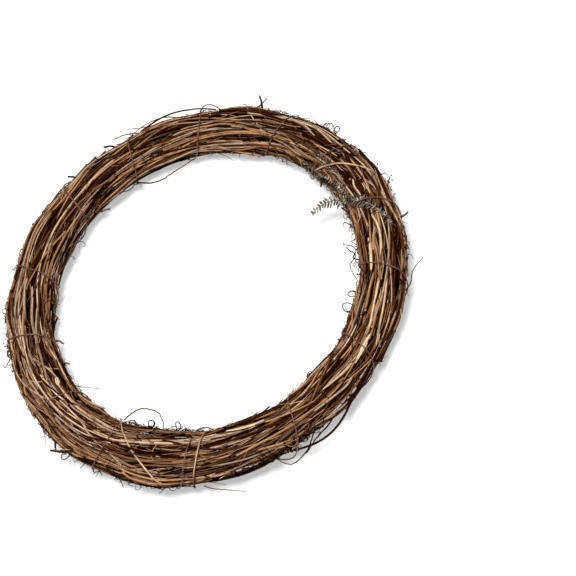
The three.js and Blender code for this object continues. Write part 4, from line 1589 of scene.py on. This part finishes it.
@dataclass
class FineTendrils(Assembly):
    """The finest tendrils, which grow all round the bundle and crowd in a few places.

    Attributes:
        faces: Between which headings in degrees they grow, up to which share of them.
        crowds: Places where they crowd, each as a turn and a heading in degrees and how many there are.
        scatter: How far from such a place they grow, in turn and in heading.
        wobble: How far it strays with each of them, as a share of its size.
    """

    count: int = 420
    radius: Span = (0.22 * MM, 0.42 * MM)
    size: Span = (1.2 * MM, 3.6 * MM)
    faces: tuple[tuple[float, Span], ...] = ((0.45, (-25, 50)), (0.85, (130, 200)), (1.0, (50, 130)))
    shares: dict[TendrilForm, float] = field(default_factory=lambda: {
        TendrilForm.STUB: 0.34, TendrilForm.CRINKLE: 0.28, TendrilForm.HOOK: 0.16, TendrilForm.WAVE: 0.14,
        TendrilForm.CURL: 0.05, TendrilForm.COIL: 0.03})
    crowds: tuple[tuple[float, float, int], ...] = (
        (221, 160, 12), (233, 158, 14), (154, 8, 9), (172, 0, 9), (208, 2, 9), (228, 0, 9), (262, -2, 9),
        (343, 155, 6), (131, 10, 9), (60, 30, 6), (19, 25, 6), (118, 6, 8), (143, 4, 8),
    )
    scatter: Span = (3.5, 12)
    stops: int = 18
    wobble: float = 0.12
    ground: float = 0.4 * MM
    spacing: float = 0.8 * MM
    sides: int = 4
    seed: int = 53

    def build(self) -> None:
        """Builds the tendrils."""
        places = []
        for _ in range(self.count):
            side = self.random.random()
            heading = self.random.uniform(*next(headings for share, headings in self.faces if side < share))
            places.append((self.random.uniform(0, 360), heading))
        for *middle, number in self.crowds:
            places += [tuple(self.random.normal(middle, self.scatter)) for _ in range(number)]
        tendrils = StemMesh()
        forms = list(self.shares)
        for turn, heading in places:
            form = forms[int(self.random.choice(len(forms), p=list(self.shares.values())))]
            line = self.course(turn * DEGREE, heading * DEGREE, form)
            radii = self.random.uniform(*self.radius) * np.linspace(1.1, 0.5, len(line))
            tendrils.roll(Line(line, radii), self.sides, self.random.random() * 0.5)
        self.dress(tendrils, "fine_tendrils", Tone.DARK)

    def course(self, turn: float, heading: float, form: TendrilForm) -> np.ndarray:
        """The course of one tendril.

        Args:
            turn: Where round the ring it grows.
            heading: Where round the bundle it grows.
            form: How it is curled.

        Returns:
            Its points, from the middle of its stem outwards.
        """
        root, base = self.bundle.outermost(turn, heading)
        along, outwards, across = RING.directions(turn, heading)
        size = self.random.uniform(*self.size)
        hand = either_way(self.random)
        share = np.linspace(0, 1, self.stops)
        steps = form.course(share**self.random.uniform(0.8, 1.3) * self.random.uniform(0.45, 1.0)) * size
        wobble = np.cumsum(self.random.normal(0, self.wobble, (self.stops, 3)), axis=0)
        steps = steps + 0.6 * (wobble * size * share[:, None] ** 0.5)
        direction = along * hand + across * self.random.normal(0, 0.5)
        points = base + steps[:, :1] * direction + steps[:, 1:2] * outwards + steps[:, 2:] * across
        return evenly(np.vstack((root, lifted(points, self.ground))), self.spacing)


@dataclass
class BarkShreds(Assembly):
    """Fibres of bark that have come loose from the stems, and a few wide strips that have peeled off.

    Attributes:
        strips: The wide strips, each as a turn and heading in degrees where it starts and ends, its width
            in millimetres and its tone.
    """

    count: int = 420
    width: Span = (0.18 * MM, 0.5 * MM)
    length: Span = (5 * MM, 24 * MM)
    headings: Span = (-40, 220)
    strips: tuple[Row, ...] = (
        (180, 136, 184, 126, 3.4, 0.6), (183, 127, 213, 128, 2.8, 0.55), (177, 100, 190, 112, 2.0, 0.7),
        (334, 120, 322, 112, 3.0, 0.6), (352, 40, 342, 80, 3.0, 0.3), (250, 118, 262, 108, 2.6, 0.7),
        (84, 70, 96, 92, 2.6, 0.4), (116, 118, 130, 126, 2.6, 0.6), (292, 60, 304, 66, 2.6, 0.8),
    )
    strip_height: float = 0.9 * MM
    stops: int = 9
    sides: int = 4
    strip_sides: int = 10
    seed: int = 67

    def build(self) -> None:
        """Builds the shreds and the strips."""
        shreds = {Tone.TAN: StemMesh(), Tone.DARK: StemMesh()}
        for number in range(self.count):
            turn = self.random.uniform(0, FULL_TURN)
            heading = self.random.uniform(*self.headings) * DEGREE
            self.shred(shreds[Tone.TAN if number % 3 else Tone.DARK], turn, heading)
        self.dress_all(shreds, "bark_shreds")
        wide = StemMesh()
        for strip in self.strips:
            self.strip(wide, strip)
        self.dress(wide, "peeled_bark", Tone.TAN)

    def shred(self, mesh: StemMesh, turn: float, heading: float) -> None:
        """Adds one loose fibre, which lies along its stem and lifts at its end.

        Args:
            mesh: The mesh that it is added to.
            turn: Where round the ring it starts.
            heading: Where round the bundle it starts.
        """
        _, start = self.bundle.outermost(turn, heading)
        along, outwards, across = RING.directions(turn, heading)
        hand = either_way(self.random)
        length = self.random.uniform(*self.length)
        share = np.linspace(0, 1, 8)[:, None]
        lift = self.random.uniform(0.05, 0.5) * length * share**2.2
        drift = self.random.normal(0, 0.16) * length * share
        wave = 0.4 * MM * np.sin(share * self.random.uniform(3, 9) + self.random.uniform(0, 6))
        bow = (length * share) ** 2 / (2 * RING.radius)
        points = start + hand * length * share * along + lift * outwards + (drift + wave) * across
        line = evenly(points - bow * np.array([*pointing(turn), 0]), self.spacing)
        radii = self.random.uniform(*self.width) * np.linspace(1, 0.35, len(line))
        facing = np.tile(outwards + self.random.normal(0, 0.3, 3), (len(line), 1))
        mesh.roll(Line(line, radii, facing=facing), self.sides, self.random.random(), thickness=0.35)

    def strip(self, mesh: StemMesh, strip: Row) -> None:
        """Adds one wide strip of peeled bark that lies on the bundle.

        Args:
            mesh: The mesh that it is added to.
            strip: The strip, as one of the strips above.
        """
        from_turn, from_heading, to_turn, to_heading, width, tone = strip
        turns = np.linspace(from_turn, to_turn, self.stops)
        headings = np.linspace(from_heading, to_heading, self.stops)
        stops = zip(turns, headings, np.full(self.stops, self.strip_height))
        line = evenly(self.bundle.course(stops, 0.1 * MM), self.spacing)
        share = np.linspace(0, 1, len(line))
        edge = 0.25 + 0.75 * np.sin(math.pi * np.clip(share, 0.03, 0.97)) ** 0.5
        radii = width / 2 * MM * edge * (1 + self.random.normal(0, 0.08, len(line)))
        outwards = [RING.directions(*place)[1] for place in zip(turns * DEGREE, headings * DEGREE)]
        facing = read_at(share, np.linspace(0, 1, self.stops), np.array(outwards))
        mesh.roll(Line(line, radii, facing=facing), self.strip_sides, tone, thickness=0.12, bend=0.35)


@dataclass
class SideTwigs(Assembly):
    """Thin dark side shoots that stand off the bundle, and the long pale hairs.

    Attributes:
        twigs: Each as its finish, its radius in millimetres, its tone, and its stops, which have a turn and
            a heading in degrees and a height off the bundle in millimetres.
        pressed: How far they are pressed into the bundle, in millimetres.
    """

    twigs: tuple[StemRow, ...] = (
        (Tone.GREY, 1.4, 0.3, ((203.4, 15, -4.5), (201.8, 15, -1.5), (200.2, 14, 2.8), (196.4, 13, 8.5))),
        (Tone.GREY, 0.6, 0.5, ((107, 30, -1.5), (111, 26, 0), (114.2, 20, 1), (118.3, 12, 2.8),
            (122.6, 8, 4.2))),
        (Tone.BROWN, 0.55, 0.4, ((103, 36, -1.5), (106, 32, 0.4), (109.5, 27, 1), (114, 20, 2),
            (118, 16, 2.6))),
        (Tone.GREY, 0.65, 0.4, ((73, 50, -2), (79, 37, 0), (83.2, 24, 3), (87, 16, 6))),
        (Tone.DARK, 0.5, 0.6, ((70, 44, -1), (75, 34, 1), (79, 28, 3.6), (82.4, 22, 6))),
        (Tone.DARK, 0.6, 0.2, ((280, 10, 0), (276, 2, 3), (271, -4, 5), (267, 4, 5.5))),
        (Tone.DARK, 0.5, 0.3, ((272, 0, 0), (268, -6, 3), (263, -8, 4), (260, -2, 2))),
        (Tone.DARK, 0.42, 0.5, ((239, -33, 0), (241, -28, 6), (245.5, -24, 9.5), (250, -21, 14))),
        (Tone.TAN, 0.36, 0.3, ((184, 158, 0), (188, 161, 2.5), (191.7, 164, 7), (194.3, 167, 12))),
        (Tone.TAN, 0.55, 0.35, ((212.4, 150, 0), (213.5, 158, 5), (216, 164, 10.5), (219.5, 166, 13.5),
            (223, 168, 12), (225.5, 170, 6), (226, 172, 0))),
        (Tone.TAN, 0.5, 0.5, ((169, 62, 0.8), (175, 66, 0.9), (178, 76, 1.2), (179.5, 90, 1.2),
            (180, 108, 0.8))),
        (Tone.DARK, 0.6, 0.4, ((88, 188, 0.5), (83.4, 194.6, 8), (78.6, 194, 10), (73.9, 194.9, 8.5),
            (67.6, 200, 3), (65.2, 206, -1))),
        (Tone.DARK, 0.7, 0.4, ((44, 20, 0), (42, 22, 3), (40, 26, 9))),
        (Tone.DARK, 0.6, 0.2, ((122, 8, 0), (114, 6, 3), (108, 8, 3.5), (103, 12, 0))),
        (Tone.DARK, 0.5, 0.4, ((134, 6, 0), (128, 4, 4), (121, 8, 5), (116, 12, 1))),
        (Tone.DARK, 0.5, 0.3, ((66, 34, 0), (71, 30, 4), (77, 26, 4), (82, 24, 0))),
        (Tone.DARK, 0.42, 0.3, ((318, 4, -0.5), (320.4, 2, 1.5), (324.6, 0, 4.5), (327.2, 0, 10),
            (328, 0, 11.5))),
        (Tone.DARK, 0.4, 0.2, ((336.5, 178, 9), (335, 180, 7.5), (332.2, 180, 3.5), (328.3, 180, 6.5),
            (322.3, 180, 3), (320, 180, 0))),
    )
    pressed: float = 0.5
    wobble: float = 0.12 * MM
    spacing: float = 1.2 * MM
    sides: int = 6
    seed: int = 71

    def build(self) -> None:
        """Builds the twigs."""
        made: dict[Tone, StemMesh] = {}
        for kind, radius, tone, stops in self.twigs:
            sunk = [(turn, heading, height * MM - self.pressed * MM) for turn, heading, height in stops]
            line = evenly(self.bundle.course(sunk, radius * MM, with_laid=True), self.spacing)
            line[1:-1] += self.random.normal(0, self.wobble, (len(line) - 2, 3))
            radii = radius * MM * np.linspace(1, 0.55, len(line))
            mesh = made.setdefault(kind, StemMesh())
            mesh.roll(Line(lifted(line, radius * MM), radii), self.sides, tone)
        self.dress_all(made, "side_twigs")


@dataclass
class RootletTangles(Assembly):
    """Dark tangles of dry rootlets that cling to the bundle's edges.

    Attributes:
        tangles: Each as the turns and the headings in degrees between which it lies, how many rootlets it
            has, their longest length and how far they stand off, both in millimetres.
        curly: Thicker tangles that lie on the bundle, given in the same way, paler only for having no
            painted shade.
        seed: The first dark tangle's seed. The others count up from it, and the curly ones' down.
    """

    tangles: tuple[TangleRow, ...] = (
        ((255, 273), (-12, 20), 40, 8, 3), ((86, 112), (2, 34), 80, 7, 2),
        ((216, 225), (145, 178), 30, 10, 3.5), ((229, 235), (145, 178), 22, 9, 3.5),
        ((237, 243), (150, 176), 14, 8, 3), ((158, 166), (-10, 25), 26, 10, 3),
        ((176, 181), (-14, 10), 14, 9, 3), ((189, 193), (-8, 12), 16, 8, 3),
        ((223, 232), (-14, 0), 16, 10, 3.5), ((298, 303), (140, 175), 14, 8, 3),
        ((5, 13), (150, 184), 26, 9, 3), ((344, 352), (150, 180), 14, 8, 2.5),
        ((30, 40), (10, 40), 14, 8, 2.5), ((60, 75), (20, 50), 16, 9, 2.5),
        ((326, 334), (-5, 20), 14, 8, 3), ((128, 135), (0, 25), 14, 9, 3),
        ((100, 112), (5, 30), 12, 9, 2.5),
    )
    curly: tuple[TangleRow, ...] = (
        ((257, 268), (-14, 16), 44, 10, 4.5), ((267, 272), (-8, 18), 14, 9, 3),
    )
    dark_radius: Span = (0.2 * MM, 0.36 * MM)
    curly_radius: Span = (0.28 * MM, 0.44 * MM)
    seed: int = 97

    def build(self) -> None:
        """Builds every tangle, the dark ones in one piece and the curly ones in another."""
        # the dark tangles carry the bundle's painted shade, the curly ones none
        dark = StemMesh(self.bundle.painted_shade)
        for seed, (turns, headings, count, length, standing) in enumerate(self.tangles, self.seed):
            FibreTuft(self.bundle, turns, headings, count, (3 * MM, length * MM), self.dark_radius,
                      (0.4 * MM, standing * MM), seed).fill(dark)
        self.dress(dark, "rootlet_tangles", Tone.DARK)
        curls = StemMesh()
        for number, (turns, headings, count, length, standing) in enumerate(self.curly, 1):
            FibreTuft(self.bundle, turns, headings, count, (4 * MM, length * MM), self.curly_radius,
                      (0.8 * MM, standing * MM), self.seed - number).fill(curls)
        self.dress(curls, "curly_rootlets", Tone.DARK)


@dataclass
class FibreTuft:
    """A loose tuft of curly fibres that clings to the bundle.

    Attributes:
        standing: How far its fibres stand off the bundle.
    """

    bundle: Bundle
    turns: Span
    headings: Span
    count: int
    length: Span = (4 * MM, 11 * MM)
    radius: Span = (0.16 * MM, 0.3 * MM)
    standing: Span = (0.5 * MM, 3.0 * MM)
    seed: int = 89
    ground: float = 0.4 * MM
    spacing: float = 1.1 * MM
    sides: int = 4

    def fill(self, tuft: StemMesh) -> None:
        """Adds the tuft's fibres to a mesh."""
        self.random = np.random.default_rng(self.seed)
        for _ in range(self.count):
            self.fibre(tuft)

    def fibre(self, tuft: StemMesh) -> None:
        """Adds one curly fibre to a mesh."""
        turn = self.random.uniform(*self.turns) * DEGREE
        heading = self.random.uniform(*self.headings) * DEGREE
        _, points = self.bundle.outermost(turn, heading)
        along, outwards, across = RING.directions(turn, heading)
        t = np.linspace(0, 1, 9)[:, None]
        length = self.random.uniform(*self.length)
        phase = self.random.uniform(0, 6, 2)
        lie = self.random.normal(0, 0.9) * along + self.random.normal(0, 0.5) * across
        points = points + length * t * lie
        points = points + outwards * self.random.uniform(*self.standing) * np.sin(math.pi * t)
        curls = across * 0.9 * MM * np.sin(6 * t + phase[0]), along * 0.7 * MM * np.sin(7 * t + phase[1])
        line = evenly(lifted(points + curls[0] + curls[1], self.ground), self.spacing)
        radii = self.random.uniform(*self.radius) * np.linspace(1, 0.6, len(line))
        tuft.roll(Line(line, radii), self.sides, self.random.random() * 0.7)


@dataclass
class DriedSprig(Assembly):
    """The dried sprig under the wire: fronds with slanting leaflets, and a grey tuft beside it.

    Attributes:
        room: How far a frond's middle stays off the bundle.
        side_length: The length of the side fronds' leaflets, as a share of the main frond's.
        profile: How far along a frond its leaflets have which length, both as shares.
        main: The main frond's stops, each a turn and heading in degrees and a height in millimetres.
        side_fronds: Each with the share of the main frond where it starts, and its stops.
        tuft: The turns and the headings in degrees between which the tuft lies, and how many fibres it has.
    """

    radius: float = 0.5 * MM
    room: float = 0.6 * MM
    leaflet_length: float = 6.2 * MM
    leaflet_gap: float = 2.4 * MM
    side_length: float = 0.5
    profile: tuple[Row, Row] = ((0, 0.15, 0.3, 0.7, 1), (0.4, 0.6, 1, 0.9, 0.45))
    leaflet_radii: Row = (0.6, 0.95, 1.0, 0.85, 0.3)
    main: tuple[Row, ...] = (
        (340, 62, 1.2), (342.5, 76, 1.6), (345.8, 95, 0.8), (349, 120, 1.6), (352, 142, 2.6), (355, 157, 7),
        (356.6, 166, 14), (357.4, 174, 21),
    )
    side_fronds: tuple[tuple[float, tuple[Row, ...]], ...] = (
        (0.42, ((353, 134, 1.2), (357, 139, 2.2), (362, 144, 3.0), (366, 148, 3.6))),
        (0.12, ((340, 58, 0.6), (337, 50, 0.8))),
    )
    tuft: tuple[Span, Span, int] = ((359, 376), (118, 178), 110)
    sides: int = 6
    leaflet_sides: int = 4
    seed: int = 83

    def build(self) -> None:
        """Builds the sprig and the tuft."""
        sprig = StemMesh()
        main = self.stem(self.main)
        self.frond(sprig, main, 1.0)
        for share, stops in self.side_fronds:
            root = main[round(share * (len(main) - 1))]
            self.frond(sprig, np.vstack((root, self.stem(stops))), self.side_length)
        sprig.piece("sprig", [self.finishes.sprig] * 2, "dried_sprig", ["dried_sprig"])
        tuft = StemMesh()
        FibreTuft(self.bundle, *self.tuft).fill(tuft)
        tuft.piece("grey_tuft", [self.finishes.tuft] * 2, "dried_sprig")

    def stem(self, stops: tuple[Row, ...]) -> np.ndarray:
        """A frond's line over the bundle through its stops."""
        raised = [(turn, heading, height * MM) for turn, heading, height in stops]
        return evenly(self.bundle.course(raised, self.room), self.leaflet_gap)

    def frond(self, sprig: StemMesh, points: np.ndarray, size: float) -> None:
        """Adds a frond's stem and its leaflets, in two rows that slant towards its tip.

        Args:
            sprig: The mesh that they are added to.
            points: The frond's line.
            size: The length of its leaflets, as a share of the longest.
        """
        line = evenly(points, self.leaflet_gap)
        share = np.linspace(0, 1, len(line))
        sprig.roll(Line(line, self.radius * (1.1 - 0.7 * share)), self.sides, 0.5)
        ahead = np.gradient(line, axis=0)
        ahead /= np.linalg.norm(ahead, axis=1)[:, None]
        for root, along, t in zip(line[1:], ahead[1:], share[1:]):
            turn, out, up = RING.places(root[None])[0]
            outwards = RING.directions(turn, math.atan2(up, out))[1] + (0, 0, 1)
            outwards = outwards - along * (outwards @ along)
            outwards /= np.linalg.norm(outwards)
            side = np.cross(along, outwards)
            for hand in (-1, 1):
                self.leaflet(sprig, root, along, side * hand, outwards, size * np.interp(t, *self.profile))

    def leaflet(self, sprig: StemMesh, root: np.ndarray, along: np.ndarray, side: np.ndarray,
                outwards: np.ndarray, size: float) -> None:
        """Adds one narrow leaflet.

        Args:
            sprig: The mesh that it is added to.
            root: Where it grows from.
            along: The direction of its frond.
            side: The direction away from its frond.
            outwards: The direction in which it faces.
            size: Its length, as a share of the longest.
        """
        length = self.leaflet_length * size * self.random.uniform(0.75, 1.1)
        slant = along * 0.5 + side * 0.8 + outwards * self.random.uniform(0.0, 0.3)
        slant = slant + self.random.normal(0, 0.07, 3)
        t = np.linspace(0, 1, len(self.leaflet_radii))[:, None]
        points = root + length * (slant * t + outwards * -0.25 * t**2)
        line = Line(points, 0.8 * MM * np.array(self.leaflet_radii), facing=np.tile(outwards, (len(t), 1)))
        sprig.roll(line, self.leaflet_sides, self.random.random(), thickness=0.55)


@dataclass
class Studio:
    """The pale floor, the soft lights and the camera at the photograph's viewing angle.

    Attributes:
        elevation: The camera's height above the horizon in degrees.
        azimuth: How far it stands round the wreath from its front, in degrees.
        roll: How far the camera is turned about its own line of sight, in degrees.
        distance: From the camera to what it aims at.
        aim: How far right of and above the ring's middle it aims, in the picture's own directions.
        lights: Each as its name, its power in watts, its size and its place.
    """

    elevation: float = 56.8
    azimuth: float = -5.3
    roll: float = 30.3
    distance: float = 1.137
    aim: Span = (60.2 * MM, -1.3 * MM)
    lens: float = 100.0
    sensor: float = 36.0
    nearest: float = 0.05
    floor_size: float = 6.0
    lights: tuple[tuple[str, float, float, Row], ...] = (
        ("key_light", 37.6, 0.5, (-0.02, -0.3, 1.6)),
        ("fill_light", 2.2, 1.6, (0.9, -0.9, 1.1)),
    )
    sky: float = 0.12

    def build(self) -> None:
        """Builds the floor, the lights and the camera."""
        mesh = bmesh.new()
        bmesh.ops.create_grid(mesh, x_segments=1, y_segments=1, size=self.floor_size / 2)
        data = bpy.data.meshes.new("floor")
        mesh.to_mesh(data)
        mesh.free()
        data.materials.append(PaleFloor().material())
        floor = placed("floor", data)
        for name, power, size, place in self.lights:
            self.light(name, power, size, Vector(place))
        world = bpy.data.worlds.new("soft_sky")
        world.use_nodes = True
        world.node_tree.nodes["Background"].inputs["Color"].default_value = (1, 1, 1, 1)
        world.node_tree.nodes["Background"].inputs["Strength"].default_value = self.sky
        bpy.context.scene.world = world
        self.camera()
        bpy.context.scene.view_settings.view_transform = "Standard"

    def light(self, name: str, power: float, size: float, place: Vector) -> None:
        """Adds a square soft light that points at the wreath.

        Args:
            name: Its name.
            power: Its power in watts.
            size: The length of its sides.
            place: Where it hangs.
        """
        data = bpy.data.lights.new(name, "AREA")
        data.energy = power
        data.size = size
        lamp = placed(name, data)
        lamp.location = place
        lamp.rotation_euler = (-place).to_track_quat("-Z", "Y").to_euler()

    def camera(self) -> None:
        """Adds the camera."""
        data = bpy.data.cameras.new("camera")
        data.lens = self.lens
        data.sensor_width = self.sensor
        data.clip_start = self.nearest
        camera = placed("camera", data)
        tilt = Matrix.Rotation(math.pi / 2 - self.elevation * DEGREE, 3, "X")
        round_ring = Matrix.Rotation(self.azimuth * DEGREE, 3, "Z")
        turned = round_ring @ tilt @ Matrix.Rotation(-self.roll * DEGREE, 3, "Z")
        right, above, back = (Vector(turned.col[k]) for k in range(3))
        target = Vector((0, 0, RING.height)) + self.aim[0] * right + self.aim[1] * above
        camera.matrix_world = Matrix.Translation(target + self.distance * back) @ turned.to_4x4()
        bpy.context.scene.camera = camera


def write_sizes() -> None:
    """Updates the view layer."""
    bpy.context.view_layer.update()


def main() -> None:
    """Builds the wreath's looks round its CAD frame."""
    logging.basicConfig(level=logging.INFO, format="%(message)s")
    finishes = Finishes()
    bundle = Bundle()
    for assembly in (VineStems, FillStems, TopStems):
        assembly(bundle, finishes).build()
    TopStems(bundle, finishes, name="hair_stems", count=400, sides=4, drawn=5, radius=(0.2 * MM, 0.48 * MM),
             length=(10, 48), crossing=(15, 90), rise=(-0.3 * MM, 1.2 * MM), step=2.0, tucked=0.45,
             kink=0.45 * MM, kinds=(Tone.BROWN, Tone.DARK, Tone.GREY), seed=39).build()
    for assembly in (MarkedStems, LooseShoots, BindingWire, DriedSprig, FineTendrils, BarkShreds, SideTwigs,
                     RootletTangles):
        assembly(bundle, finishes).build()
    Studio().build()
    write_sizes()


if __name__ == "__main__":
    main()
